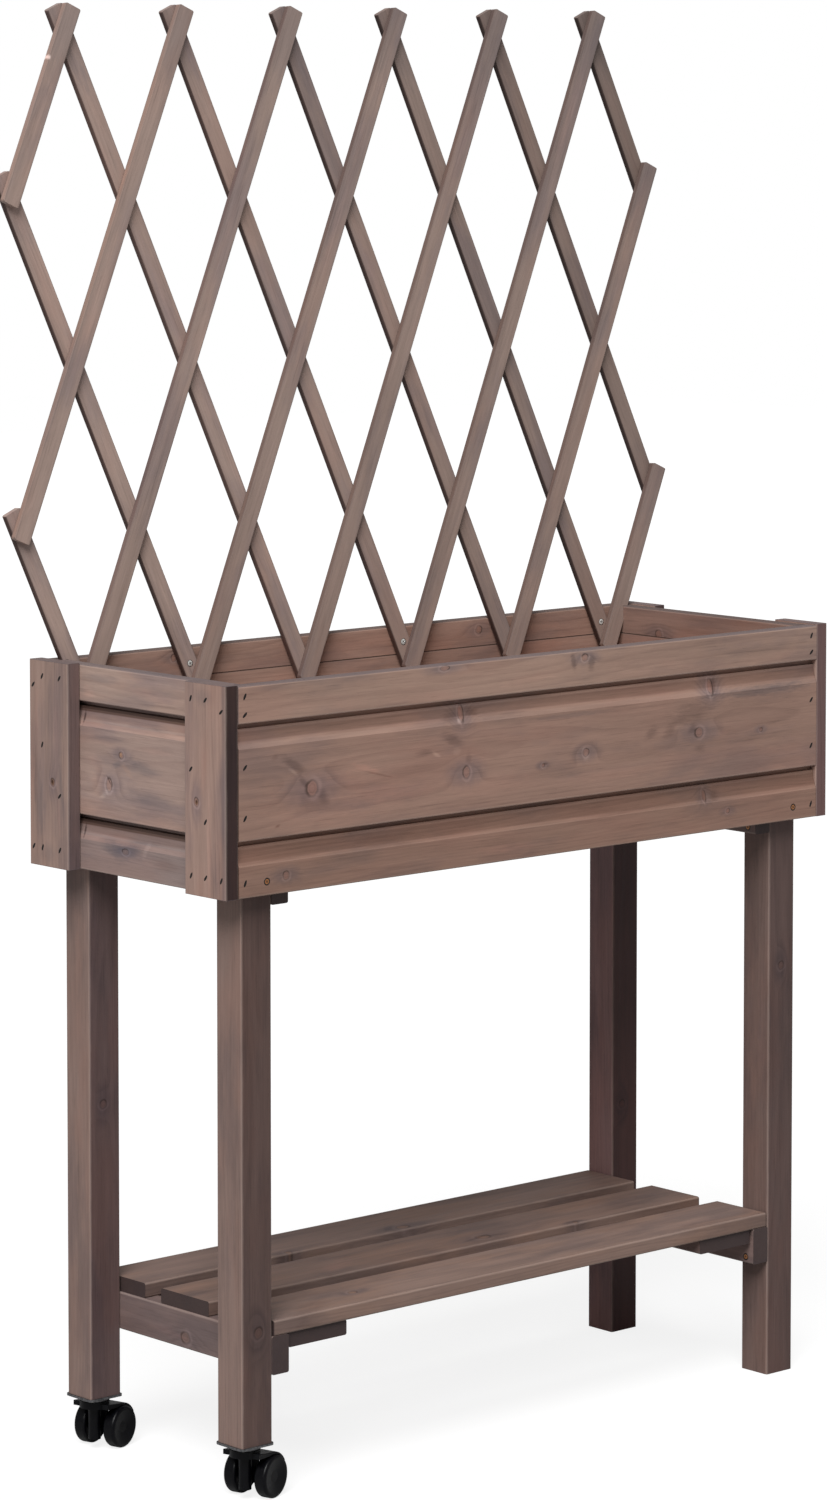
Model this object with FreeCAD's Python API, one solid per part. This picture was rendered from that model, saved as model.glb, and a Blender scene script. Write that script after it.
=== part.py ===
import FreeCAD, Part
import os
from math import acos, atan2, cos, degrees, hypot, pi, radians, sin, sqrt

os.makedirs("parts", exist_ok=True)

# Raised planter box on four square legs, with a slatted shelf and a lattice trellis.
# The two left legs are shorter and stand on twin-wheel casters.
# Millimetres. X runs along the box, the front faces -Y, Z is up and the floor is z = 0.
# While the pieces are made, y = 0 is the front face of the box. They are centred at the end.

# ---- timber stock ----
board_t = 19.0            # wall boards and corner covers
board_cover = 134.0       # height of one full wall board that shows
board_lap = 8.0           # overlap of one wall board on the next
tongue_t = 9.0            # thickness of the upper edge that goes behind the next board
joint_play = 0.3          # air in the lap joints
groove_h = 6.0            # height of the shadow groove between boards
cove_h = 23.0             # height of the hollow face below the groove
cove_in = 5.5             # how far the hollow has gone back at its top
lip_round = 1.5           # lower outer edge of a wall board
edge_round = 2.5          # rounding of planed edges
leg_w = 45.0              # square legs
rail_t = 25.0             # cross rails under the floor and under the shelf
slat_w = 88.5             # shelf slats and battens
slat_t = 18.0
floor_board_w = 76.0      # boards of the planter floor
floor_board_t = 18.0
drain_gap_least = 4.0     # air between the floor boards

# ---- planter box ----
wall_length = 944.0       # long wall boards
box_depth = 364.0         # outer face of the front wall to outer face of the back wall
top_board_h = 43.0        # height of the top wall board that shows
bottom_board_h = 65.0     # height of the bottom wall board that shows
box_bottom = 707.0        # underside of the walls above the floor
cover_w = 74.0            # corner cover boards
cover_rise = 1.5          # how far the covers stand above the walls

# ---- stand ----
floor_rail_h = 46.0
rail_below_box = 16.0     # how far the floor rails reach below the walls
shelf_rail_h = 45.0
shelf_top = 208.0
shelf_end_play = 2.75     # air between slat ends and legs
batten_play = 3.0         # air between battens and shelf rails
batten_setback = 4.0      # battens stop this far inside the shelf's front and back edges
floor_end_play = 2.0      # air at the ends of the floor boards

# ---- trellis ----
lath_w = 24.0
lath_t = 8.0
lath_round = 1.5          # long edges of the laths
lath_corner = 3.0         # corners at the cut ends
lath_pitch = 215.2        # from one crossing to the next along a lath
trellis_end_gap = 22.5    # outermost top crossings to the end walls
last_column = 10
last_row = 4
foot_depth = 41.0         # lowest row of crossings below the top of the back wall
lath_over_top = 27.0      # free end of a lath beyond its last crossing, upper end
lath_over_foot = 12.0     # the same at the lower end
trellis_lean = 2.6        # degrees that the trellis leans back over the wall
seat_play = 0.1           # trellis to back wall, and laths to end walls

# ---- casters ----
caster_h = 67.0           # floor to underside of the short legs
caster_turn = 16.5        # degrees that both casters are swivelled
caster_trail = 22.0       # swivel axis to wheel axle
wheel_r = 25.0
wheel_w = 16.0
wheel_span = 58.0         # outside to outside of a pair of wheels
wheel_edge = 3.5          # rounding of the tread's edges
wheel_rim = 4.5           # width of the rim round the dished faces
dish_depth = 3.0
hub_r = 7.0
hub_w = 22.0              # sleeve round the axle between the wheels
web_t = 10.0              # web from the swivel post to that sleeve
plate_w = 50.0            # fixing plate under the leg
plate_t = 2.5
plate_corner = 6.0
race_r = 18.0             # bearing cup under the plate
race_h = 4.5
stem_r = 5.0              # swivel pin
stem_l = 22.0
axle_r = 3.0
running_play = 0.05       # pin in bore
swivel_play = 0.3         # head of the swivel under the bearing cup
post_r = 7.5              # swivel post round the pin
post_foot = 12.0          # its lower end above the floor
web_foot = 17.0           # lower edge of the web above the floor
hood_gap = 1.2            # wheel tread to hood
hood_t = 2.0
hood_start = 30.0         # degrees above the axle's level, trailing side
hood_end = 105.0          # degrees, where the hood leaves the treads
hood_reach = 8.0          # hood's leading edge beyond the swivel axis
hood_brow = 2.2           # head of the swivel above that edge
hood_inset = 4.0          # hood's side edges inside the wheels' outer faces
hood_round = 1.2
race_round = 1.5
hub_wall = 5.0            # wall round the axle between the wheels
axle_cap = 1.0            # closed end of a wheel's bore
axle_end_play = 1.0       # air at the ends of the axle

# ---- fasteners ----
nail_r = 1.4
end_nail_l = 40.0         # through a long wall into the end of an end board
cover_nail_l = 36.0       # through a corner cover, not through the board behind it
nail_low = 22.0           # lowest row of cover nails above the underside of the walls
nail_above_lip = 21.0     # next row, above the lower lip of the middle board
nail_below_groove = 49.0  # next row, below the upper groove
nail_high = 17.0          # top row, below the top of the walls
nail_second = 33.0        # extra nail in each end of the top board
nail_stagger = 5.0        # nails that cross pass each other at this height
front_nail_columns = (36.0, 62.0)     # from the box's corner edge, on the front corner covers
back_nail_columns = (58.0, 25.0)      # the same on the back corner covers
corner_nail_column = 8.0  # nail into the end of the long wall
corner_nail_drop = 11.0   # that nail is this far below the top row
screw_r = 2.2
screw_head_r = 4.4
screw_l = 60.0
rail_screw_l = 50.0
rail_screw_from_edge = 8.0
shelf_screw_l = 30.0
trellis_screw_r = 1.8
trellis_screw_head_r = 3.6
trellis_screw_l = 22.0
trellis_screw_up = 26.0   # along the lath, from the lowest crossing
trellis_screw_columns = (2, 6, 10)
brad_r = 0.9
brad_l = 13.5
caster_screw_l = 25.0
caster_screw_pitch = 32.0
pan_head_r = 3.5
pan_head_h = 2.0

# ---- levels and lengths that follow ----
lap_recess = board_t - tongue_t              # depth of the rebate behind a board's lower lip
box_length = wall_length + 2 * board_t       # over the corner covers
wall_h = bottom_board_h + board_cover + top_board_h
box_top = box_bottom + wall_h
inner_depth = box_depth - 2 * board_t        # end boards, rails and the stand's depth
half_wall = wall_length / 2                  # outer face of the end boards
half_inner = half_wall - board_t             # inner face of the end boards, outer face of the legs
leg_inner = half_inner - leg_w               # faces of the legs that carry the rails
stand_front = board_t                        # front faces of the legs, rails and slats
stand_back = box_depth - board_t
floor_rail_bottom = box_bottom - rail_below_box
leg_top = floor_rail_bottom + floor_rail_h
shelf_rail_top = shelf_top - slat_t
head_top = caster_h - plate_t - race_h - swivel_play
wheel_in = wheel_span / 2 - wheel_w          # inner face of a wheel from the middle of the axle

X = FreeCAD.Vector(1, 0, 0)
Y = FreeCAD.Vector(0, 1, 0)
Z = FreeCAD.Vector(0, 0, 1)


def vec(x, y, z=0.0):
    return FreeCAD.Vector(x, y, z)


def box(x0, x1, y0, y1, z0, z1):
    return Part.makeBox(x1 - x0, y1 - y0, z1 - z0, vec(x0, y0, z0))


def timber(x0, x1, y0, y1, z0, z1, along, radius=edge_round):
    """A planed length of timber: its four edges along one axis are rounded."""
    body = box(x0, x1, y0, y1, z0, z1)
    long_edges = []
    for edge in body.Edges:
        direction = edge.tangentAt(edge.FirstParameter)
        if abs(direction.dot(along)) > 0.999:
            long_edges.append(edge)
    return body.makeFillet(radius, long_edges)


def rod(radius, length, base, direction):
    return Part.makeCylinder(radius, length, base, direction)


def flat_screw(head_r, shank_r, length, top, direction):
    """Countersunk screw: the head's flat top lies at top and the shank goes along direction."""
    head_h = head_r - shank_r
    profile = [vec(0, 0, 0), vec(head_r, 0, 0), vec(shank_r, 0, head_h), vec(shank_r, 0, length - shank_r),
               vec(0, 0, length)]
    screw = revolve(profile)
    screw.Placement = FreeCAD.Placement(top, FreeCAD.Rotation(Z, direction))
    return screw


def revolve(profile):
    """Solid of revolution about Z from points (radius, 0, height)."""
    face = Part.Face(Part.makePolygon(profile + [profile[0]]))
    return face.revolve(vec(0, 0, 0), Z, 360)


# ---- wall boards ----

def board_section(height, lip, tongue):
    """Outline of a wall board as (depth from the outer face, height) with its arcs.

    lip: the lower edge is rebated to hang over the board below.
    tongue: the upper edge is hollowed out and thinned to go behind the board above.
    A board with no tongue has a planed, rounded top.
    """
    inner_step = lap_recess - joint_play
    wire = Outline(0, lip_round)
    if tongue:
        cove_top = height - groove_h
        cove_r = (cove_in ** 2 + cove_h ** 2) / (2 * cove_in)
        half_turn = atan2(cove_h, cove_r - cove_in) / 2
        wire.line(0, cove_top - cove_h)
        via_in = cove_in - cove_r + cove_r * cos(half_turn)
        wire.round_to(cove_in, cove_top, via_in, cove_top - cove_r * sin(half_turn))
        wire.line(lap_recess, cove_top)
        wire.line(lap_recess, height + board_lap - joint_play)
        wire.line(board_t, height + board_lap - joint_play)
    else:
        wire.line(0, height - edge_round)
        wire.round_to(edge_round, height, edge_round - edge_round * sin(pi / 4),
                      height - edge_round + edge_round * sin(pi / 4))
        wire.line(board_t - edge_round, height)
        wire.round_to(board_t, height - edge_round, board_t - edge_round + edge_round * sin(pi / 4),
                      height - edge_round + edge_round * sin(pi / 4))
    if lip:
        wire.line(board_t, board_lap)
        wire.line(inner_step, board_lap)
        wire.line(inner_step, 0)
    else:
        wire.line(board_t, 0)
    wire.line(lip_round, 0)
    wire.round_to(0, lip_round, lip_round - lip_round * sin(pi / 4), lip_round - lip_round * sin(pi / 4))
    return wire


class Outline:
    """A closed outline of straight lines and arcs in a plane."""

    def __init__(self, a, b):
        self.start = (a, b)
        self.last = (a, b)
        self.steps = []

    def line(self, a, b):
        self.steps.append((self.last, None, (a, b)))
        self.last = (a, b)

    def round_to(self, a, b, via_a, via_b):
        self.steps.append((self.last, (via_a, via_b), (a, b)))
        self.last = (a, b)

    def face(self, place):
        """The filled outline, with place(a, b) giving the point in space."""
        if self.last != self.start:
            self.line(*self.start)
        edges = []
        for begin, via, end in self.steps:
            if via is None:
                edges.append(Part.LineSegment(place(*begin), place(*end)).toShape())
            else:
                edges.append(Part.Arc(place(*begin), place(*via), place(*end)).toShape())
        return Part.Face(Part.Wire(edges))


wall_rows = (
    ("bottom", 0.0, bottom_board_h, False, True),
    ("middle", bottom_board_h, board_cover, True, True),
    ("top", bottom_board_h + board_cover, top_board_h, True, False),
)


def long_wall_board(row, outer_y, inward):
    """One board of the front or back wall. inward is +1 for the front wall and -1 for the back."""
    name, level, height, lip, tongue = row
    outline = board_section(height, lip, tongue)
    face = outline.face(lambda d, h: vec(-half_wall, outer_y + inward * d, box_bottom + level + h))
    return face.extrude(X * wall_length)


def end_wall_board(row, outer_x, inward):
    """One board of an end wall. It butts against the long walls."""
    name, level, height, lip, tongue = row
    outline = board_section(height, lip, tongue)
    face = outline.face(lambda d, h: vec(outer_x + inward * d, stand_front, box_bottom + level + h))
    return face.extrude(Y * inner_depth)


# ---- trellis ----

lean = radians(trellis_lean)
column_step = 2 * (half_inner - trellis_end_gap) / last_column      # half the width of one diamond
row_step = sqrt(lath_pitch ** 2 - column_step ** 2)                 # half the height of one diamond
lath_angle = atan2(row_step, column_step)
slant = (cos(lath_angle), sin(lath_angle))
top_h = last_row * row_step - foot_depth      # top row of crossings above the pivot

# The back face of the trellis touches the rounded top edge of the back wall.
pivot_y = stand_back + edge_round - edge_round * cos(lean)
pivot_z = box_top - edge_round + edge_round * sin(lean)
trellis_front = vec(0, -cos(lean), sin(lean))
trellis_up = vec(0, sin(lean), cos(lean))
trellis_origin = vec(0, pivot_y, pivot_z) + trellis_front * seat_play


def crossing(column, row):
    """Place of a crossing in the trellis plane: (x, height above the pivot)."""
    return ((column - last_column / 2) * column_step, top_h - row * row_step)


def in_trellis(x, depth, height):
    """A point of the trellis in space. depth counts from its back face to the front."""
    return trellis_origin + X * x + trellis_front * depth + trellis_up * height


def lath(lower, upper, layer):
    """One lath from its lower to its upper crossing. layer 0 is the back one, 1 the front one."""
    x0, h0 = crossing(*lower)
    x1, h1 = crossing(*upper)
    run = hypot(x1 - x0, h1 - h0)
    dx = (x1 - x0) / run
    dh = (h1 - h0) / run
    size = (-lath_over_foot, run + lath_over_top, -lath_w / 2, lath_w / 2, 0, lath_t)
    body = timber(*size, X, lath_round).common(timber(*size, Z, lath_corner))
    across = trellis_up * dx - X * dh
    along = X * dx + trellis_up * dh
    base = in_trellis(x0, layer * lath_t, h0)
    body.Placement = FreeCAD.Placement(FreeCAD.Matrix(
        along.x, across.x, trellis_front.x, base.x,
        along.y, across.y, trellis_front.y, base.y,
        along.z, across.z, trellis_front.z, base.z,
        0, 0, 0, 1))
    return body.cut(end_wall_zone())


def end_wall_zone():
    """Space of the two end walls, from which the outermost laths are trimmed back."""
    top = box_top + seat_play
    inner = half_inner - seat_play
    left = box(-half_wall, -inner, stand_front, stand_back, box_bottom, top)
    right = box(inner, half_wall, stand_front, stand_back, box_bottom, top)
    return left.fuse(right)


def lattice_ends():
    """Lower and upper crossing of each lath, front layer leaning right, back layer leaning left."""
    front = []
    back = []
    for column in range(0, last_column + 1, 2):
        front.append((follow(column, 0, -1, 1), (column, 0)))
        back.append((follow(column, 0, 1, 1), (column, 0)))
    for row in range(1, last_row, 2):
        front.append((follow(last_column + 1, row, -1, 1), (last_column + 1, row)))
        back.append((follow(-1, row, 1, 1), (-1, row)))
    return front, back


def follow(column, row, step, down):
    """Last crossing of a lath that starts at column, row and goes down in the given direction."""
    while row + down <= last_row and -1 <= column + step <= last_column + 1:
        column += step
        row += down
    return (column, row)


def all_crossings():
    places = []
    for row in range(last_row + 1):
        first = 0 if row % 2 == 0 else -1
        for column in range(first, last_column - first + 1, 2):
            places.append((column, row))
    return places


def trellis_screw(column):
    x, height = crossing(column, last_row)
    place = in_trellis(x - slant[0] * trellis_screw_up, lath_t, height + slant[1] * trellis_screw_up)
    return flat_screw(trellis_screw_head_r, trellis_screw_r, trellis_screw_l, place, trellis_front * -1)


# ---- casters ----

def caster_plate():
    """Steel fixing plate with the bearing cup and the swivel pin riveted to it."""
    half = plate_w / 2
    plate = timber(-half, half, -half, half, caster_h - plate_t, caster_h, Z, plate_corner)
    race = rod(race_r, race_h, vec(0, 0, caster_h - plate_t - race_h), Z)
    rim = [edge for edge in race.Edges if abs(edge.BoundBox.ZMax - (caster_h - plate_t - race_h)) < 0.01]
    race = race.makeFillet(race_round, [edge for edge in rim if edge.BoundBox.ZLength < 0.01])
    stem = rod(stem_r, stem_l + race_h, vec(0, 0, caster_h - plate_t - race_h - stem_l), Z)
    body = plate.fuse([race, stem])
    for place in caster_screw_places():
        body = body.cut(rod(screw_r, plate_t, vec(place[0], place[1], caster_h - plate_t), Z))
    return body.removeSplitter()


def caster_screw_places():
    half = caster_screw_pitch / 2
    return [(half, half), (-half, half), (-half, -half), (half, -half)]


def polar(radius, angle):
    """Point at an angle round the wheel axle, in the plane of the wheel."""
    return vec(caster_trail + radius * cos(radians(angle)), 0, wheel_r + radius * sin(radians(angle)))


def caster_hood():
    """Hood over both treads. Its top runs on, tangent to the arc, to a straight edge before the post."""
    inner = wheel_r + hood_gap
    outer = inner + hood_t
    brow = vec(-hood_reach, 0, head_top - hood_brow)
    lower = vec(-hood_reach, 0, wheel_r + inner)
    brow_in = brow.x - caster_trail
    brow_up = brow.z - wheel_r
    tangent = degrees(atan2(brow_up, brow_in) - acos(outer / hypot(brow_in, brow_up)))
    outer_middle = (hood_start + tangent) / 2
    inner_middle = (hood_start + hood_end) / 2
    back = Part.Arc(polar(outer, hood_start), polar(outer, outer_middle), polar(outer, tangent)).toShape()
    top = Part.LineSegment(polar(outer, tangent), brow).toShape()
    edges = [
        back,
        top,
        Part.LineSegment(brow, lower).toShape(),
        Part.LineSegment(lower, polar(inner, hood_end)).toShape(),
        Part.Arc(polar(inner, hood_end), polar(inner, inner_middle), polar(inner, hood_start)).toShape(),
        Part.LineSegment(polar(inner, hood_start), polar(outer, hood_start)).toShape(),
    ]
    face = Part.Face(Part.Wire(edges))
    width = wheel_span - 2 * hood_inset
    face.translate(vec(0, -width / 2, 0))
    hood = face.extrude(Y * width)
    long_edges = []
    for edge in hood.Edges:
        flat = edge.BoundBox.YLength < 0.01
        if flat and min(abs(edge.Length - back.Length), abs(edge.Length - top.Length)) < 0.05:
            long_edges.append(edge)
    return hood.makeFillet(hood_round, long_edges)


def caster_housing():
    """Plastic housing: a hood over both treads, the swivel post and a web from it to the axle sleeve."""
    sleeve = rod(axle_r + hub_wall, hub_w, vec(caster_trail, -hub_w / 2, wheel_r), Y)
    post = rod(post_r, head_top - post_foot, vec(0, 0, post_foot), Z)
    head_foot = wheel_r + wheel_r + hood_gap
    head = rod(race_r, head_top - head_foot, vec(0, 0, head_foot), Z)
    web = box(0, caster_trail, -web_t / 2, web_t / 2, web_foot, head_foot + hood_t / 2)
    body = caster_hood().fuse([sleeve, post, head, web])
    bore_l = stem_l + 2 * swivel_play
    body = body.cut(rod(stem_r + running_play, bore_l, vec(0, 0, head_top + swivel_play - bore_l), Z))
    body = body.cut(rod(axle_r, hub_w, vec(caster_trail, -hub_w / 2, wheel_r), Y))
    return body.removeSplitter()


def caster_axle():
    length = wheel_span - 2 * (dish_depth + axle_cap + axle_end_play)
    return rod(axle_r, length, vec(caster_trail, -length / 2, wheel_r), Y)


def caster_wheel(side):
    """Dished wheel, closed outside and recessed inside, on a blind bore. side is -1 or +1 along Y."""
    dish_r = wheel_r - wheel_rim
    outline = Outline(axle_r + running_play, 0)
    outline.line(hub_r, 0)
    outline.line(hub_r, dish_depth)
    outline.line(dish_r, dish_depth)
    outline.line(dish_r, 0)
    outline.line(wheel_r - wheel_edge, 0)
    fillet = wheel_edge * (1 - sin(pi / 4))
    outline.round_to(wheel_r, wheel_edge, wheel_r - fillet, fillet)
    outline.line(wheel_r, wheel_w - wheel_edge)
    outline.round_to(wheel_r - wheel_edge, wheel_w, wheel_r - fillet, wheel_w - fillet)
    outline.line(dish_r, wheel_w)
    outline.line(hub_r, wheel_w - dish_depth)
    outline.line(0, wheel_w - dish_depth)
    bore_end = wheel_w - dish_depth - axle_cap
    outline.line(0, bore_end)
    outline.line(axle_r + running_play, bore_end)
    face = outline.face(lambda r, a: vec(r, 0, a))
    wheel = face.revolve(vec(0, 0, 0), Z, 360)
    wheel.Placement = FreeCAD.Placement(vec(caster_trail, side * wheel_in, wheel_r),
                                        FreeCAD.Rotation(Z, Y * side))
    return wheel


def on_leg(shape, leg_y):
    """Swivels a caster piece and puts it under a left leg."""
    moved = shape.copy()
    moved.rotate(vec(0, 0, 0), Z, caster_turn)
    moved.translate(vec(-leg_middle, leg_y, 0))
    return moved


# ---- fasteners ----

leg_middle = half_inner - leg_w / 2
leg_rows = {"front": stand_front + leg_w / 2, "back": stand_back - leg_w / 2}


def box_nails():
    """Nails of the corner covers, and of the long walls into the end boards."""
    low = box_bottom + nail_low
    lower = box_bottom + bottom_board_h + nail_above_lip
    upper = box_bottom + bottom_board_h + board_cover - groove_h - nail_below_groove
    high = box_top - nail_high
    end_levels = (low - nail_stagger, lower + nail_stagger, upper + nail_stagger, high + nail_stagger,
                  box_top - nail_second)
    corner_levels = (low, high - corner_nail_drop)
    nails = []
    for side in (-1, 1):
        cover_face = side * box_length / 2
        end_x = side * (half_wall - board_t / 2)
        for from_y, inward, columns in ((0, 1, front_nail_columns), (box_depth, -1, back_nail_columns)):
            places = [(columns[0], low), (columns[1], low), (columns[0], high), (columns[1], high),
                      (columns[0], lower), (columns[1], upper)]
            for level in corner_levels:
                places.append((corner_nail_column, level))
            for column, level in places:
                head = vec(cover_face, from_y + inward * column, level)
                nails.append(rod(nail_r, cover_nail_l, head, X * -side))
            for level in end_levels:
                nails.append(rod(nail_r, end_nail_l, vec(end_x, from_y, level), Y * inward))
    return nails


def frame_screws():
    """Screws through the walls into the legs, and through the rails into the legs."""
    screws = []
    wall_level = box_bottom + rail_below_box
    for side in (-1, 1):
        for key, leg_y in leg_rows.items():
            face_y = 0 if key == "front" else box_depth
            inward = Y if key == "front" else Y * -1
            head = vec(side * leg_middle, face_y, wall_level)
            screws.append(flat_screw(screw_head_r, screw_r, screw_l, head, inward))
            rail_x = side * (leg_inner - rail_t)
            rails = ((floor_rail_bottom, floor_rail_h), (shelf_rail_top - shelf_rail_h, shelf_rail_h))
            for base, height in rails:
                for shift in (-1, 1):
                    level = base + height / 2 + shift * (height / 2 - rail_screw_from_edge)
                    place = vec(rail_x, leg_y + shift * leg_w / 5, level)
                    screws.append(flat_screw(screw_head_r, screw_r, rail_screw_l, place, X * side))
    return screws


def shelf_screws():
    """Two screws from below at each crossing of a batten and a slat."""
    screws = []
    for side in (-1, 1):
        middle_x = side * (leg_inner - rail_t - batten_play - slat_w / 2)
        for middle_y in slat_middles():
            for shift in (-1, 1):
                x_screw = middle_x + shift * slat_w / 4
                head = vec(x_screw, middle_y + shift * slat_w / 5, shelf_rail_top - slat_t)
                screws.append(flat_screw(screw_head_r, screw_r, shelf_screw_l, head, Z))
    return screws


def slat_middles():
    return (stand_front + slat_w / 2, box_depth / 2, stand_back - slat_w / 2)


def caster_screws():
    screws = []
    for leg_y in leg_rows.values():
        for place in caster_screw_places():
            base = vec(place[0] - leg_middle, place[1] + leg_y, caster_h - plate_t)
            head = rod(pan_head_r, pan_head_h, base - Z * pan_head_h, Z)
            screws.append(head.fuse(rod(screw_r, caster_screw_l, base, Z)).removeSplitter())
    return screws


# ---- the assembly ----

pieces = {}

for wall_row in wall_rows:
    pieces["front_board_" + wall_row[0]] = [long_wall_board(wall_row, 0, 1)]
    pieces["back_board_" + wall_row[0]] = [long_wall_board(wall_row, box_depth, -1)]
    pieces["left_board_" + wall_row[0]] = [end_wall_board(wall_row, -half_wall, 1)]
    pieces["right_board_" + wall_row[0]] = [end_wall_board(wall_row, half_wall, -1)]

for side_name, side in (("left", -1), ("right", 1)):
    x_cover = sorted((side * half_wall, side * box_length / 2))
    x_leg = sorted((side * leg_inner, side * half_inner))
    x_rail = sorted((side * (leg_inner - rail_t), side * leg_inner))
    batten_outer = leg_inner - rail_t - batten_play
    x_batten = sorted((side * batten_outer, side * (batten_outer - slat_w)))
    leg_bottom = caster_h if side < 0 else 0.0
    for end_name, y_cover, leg_y in (("front", (0, cover_w), leg_rows["front"]),
                                     ("back", (box_depth - cover_w, box_depth), leg_rows["back"])):
        pieces["cover_" + end_name + "_" + side_name] = [
            timber(*x_cover, *y_cover, box_bottom, box_top + cover_rise, Z)]
        pieces["leg_" + end_name + "_" + side_name] = [
            timber(*x_leg, leg_y - leg_w / 2, leg_y + leg_w / 2, leg_bottom, leg_top, Z)]
    pieces["floor_rail_" + side_name] = [
        timber(*x_rail, stand_front, stand_back, floor_rail_bottom, leg_top, Y)]
    pieces["shelf_rail_" + side_name] = [
        timber(*x_rail, stand_front, stand_back, shelf_rail_top - shelf_rail_h, shelf_rail_top, Y)]
    pieces["shelf_batten_" + side_name] = [
        timber(*x_batten, stand_front + batten_setback, stand_back - batten_setback,
               shelf_rail_top - slat_t, shelf_rail_top, Y)]

shelf_half = leg_inner - shelf_end_play
for slat_name, middle in zip(("front", "middle", "back"), slat_middles()):
    size = (-shelf_half, shelf_half, middle - slat_w / 2, middle + slat_w / 2, shelf_rail_top, shelf_top)
    pieces["shelf_slat_" + slat_name] = [timber(*size, X)]

floor_board_count = int((inner_depth - drain_gap_least) / (floor_board_w + drain_gap_least))
drain_gap = (inner_depth - floor_board_count * floor_board_w) / (floor_board_count + 1)
floor_half = half_inner - floor_end_play
pieces["floor_boards"] = []
for index in range(floor_board_count):
    board_y = stand_front + drain_gap + index * (floor_board_w + drain_gap)
    size = (-floor_half, floor_half, board_y, board_y + floor_board_w, leg_top, leg_top + floor_board_t)
    pieces["floor_boards"].append(timber(*size, X))

front_laths, back_laths = lattice_ends()
for index, ends in enumerate(front_laths):
    pieces["trellis_front_lath_%d" % (index + 1)] = [lath(*ends, 1)]
for index, ends in enumerate(back_laths):
    pieces["trellis_back_lath_%d" % (index + 1)] = [lath(*ends, 0)]

screws_in_wall = [trellis_screw(column) for column in trellis_screw_columns]
brads = []
for place in all_crossings():
    spot_x, spot_h = crossing(*place)
    brads.append(rod(brad_r, brad_l, in_trellis(spot_x, 0, spot_h), trellis_front))

for end_name, leg_y in leg_rows.items():
    plate = caster_plate()
    plate.translate(vec(-leg_middle, leg_y, 0))
    pieces["caster_plate_" + end_name] = [plate]
    pieces["caster_housing_" + end_name] = [on_leg(caster_housing(), leg_y), on_leg(caster_axle(), leg_y)]
    pieces["caster_wheel_" + end_name + "_outer"] = [on_leg(caster_wheel(-1), leg_y)]
    pieces["caster_wheel_" + end_name + "_inner"] = [on_leg(caster_wheel(1), leg_y)]

pieces["box_nails"] = box_nails()
pieces["frame_screws"] = frame_screws()
pieces["shelf_screws"] = shelf_screws()
pieces["caster_screws"] = caster_screws()
pieces["trellis_screws"] = screws_in_wall
pieces["trellis_brads"] = brads

# Countersunk holes where a screw passes through a board that shows.
for name in ("front_board_bottom", "back_board_bottom"):
    for screw in pieces["frame_screws"]:
        pieces[name] = [solid.cut(screw) for solid in pieces[name]]

# The origin is on the floor, under the middle of the whole part.
tip_h = top_h + (lath_over_top - lath_corner) * slant[1] + (lath_w / 2 - lath_corner) * slant[0] + lath_corner
trellis_back = in_trellis(0, 0, tip_h).y
part_depth = max(trellis_back, box_depth)
shift = vec(0, -part_depth / 2, 0)

for name, solids in pieces.items():
    shape = solids[0] if len(solids) == 1 else Part.makeCompound(solids)
    shape.translate(shift)
    shape.exportStep("parts/" + name + ".step")

trellis_top = in_trellis(0, 0, tip_h).z
print("nodes", len(pieces), "length", box_length, "depth", round(part_depth, 2), "top", round(trellis_top, 1))
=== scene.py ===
from math import cos, pi, radians, sin, sqrt

import bpy
import numpy as np
from mathutils import Matrix, Vector


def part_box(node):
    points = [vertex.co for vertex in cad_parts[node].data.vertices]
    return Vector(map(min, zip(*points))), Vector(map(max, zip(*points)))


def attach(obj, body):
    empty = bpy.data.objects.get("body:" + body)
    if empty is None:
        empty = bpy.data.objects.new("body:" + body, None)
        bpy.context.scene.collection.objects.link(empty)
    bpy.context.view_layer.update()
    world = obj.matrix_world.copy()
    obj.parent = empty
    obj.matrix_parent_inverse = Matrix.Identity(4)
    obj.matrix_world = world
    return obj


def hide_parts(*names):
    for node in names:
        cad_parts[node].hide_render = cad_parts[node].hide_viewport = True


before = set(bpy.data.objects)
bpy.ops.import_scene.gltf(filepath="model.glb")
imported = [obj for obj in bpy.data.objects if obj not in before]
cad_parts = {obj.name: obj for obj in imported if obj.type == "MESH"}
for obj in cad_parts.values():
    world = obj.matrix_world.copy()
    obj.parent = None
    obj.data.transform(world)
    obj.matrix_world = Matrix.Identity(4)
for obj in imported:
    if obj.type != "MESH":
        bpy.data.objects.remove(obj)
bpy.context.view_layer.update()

# Stained softwood planter with a lattice trellis. Metres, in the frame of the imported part:
# X along the box, the front faces -Y, Z up, floor at z = 0.

X = Vector((1, 0, 0))
Y = Vector((0, 1, 0))
Z = Vector((0, 0, 1))

# ---- sizes repeated from the part ----
MM = 0.001
BOX_FRONT = -190.0635                # y of the outer faces of the long walls, in millimetres
BOX_BACK = 173.9365
WALL_T = 19.0
BOX_HALF = 491.0
WALL_NAIL_X = 462.5                  # nails through the long walls into the end walls
LEG_X = 430.5                        # middles of the legs
LEG_MIDDLE = 41.5                    # from a long wall's outer face to the middle of a leg
RAIL_X = 383.0                       # inner faces of the cross rails
RAIL_HEIGHTS = ((691.0, 46.0), (145.0, 45.0))  # bottom and height of the floor rails and the shelf rails
RAIL_SCREW_Y = 9.0                   # each way from the leg's middle
RAIL_SCREW_EDGE = 8.0                # from the rail's edges
WALL_SCREW_Z = 723.0
LIP_HEIGHTS = {"bottom": 766, "middle": 900}
HOLLOW_HEIGHT = 23
LATH_PITCH = 215.2 * MM
COLUMN_STEP = 86.1 * MM
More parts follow.
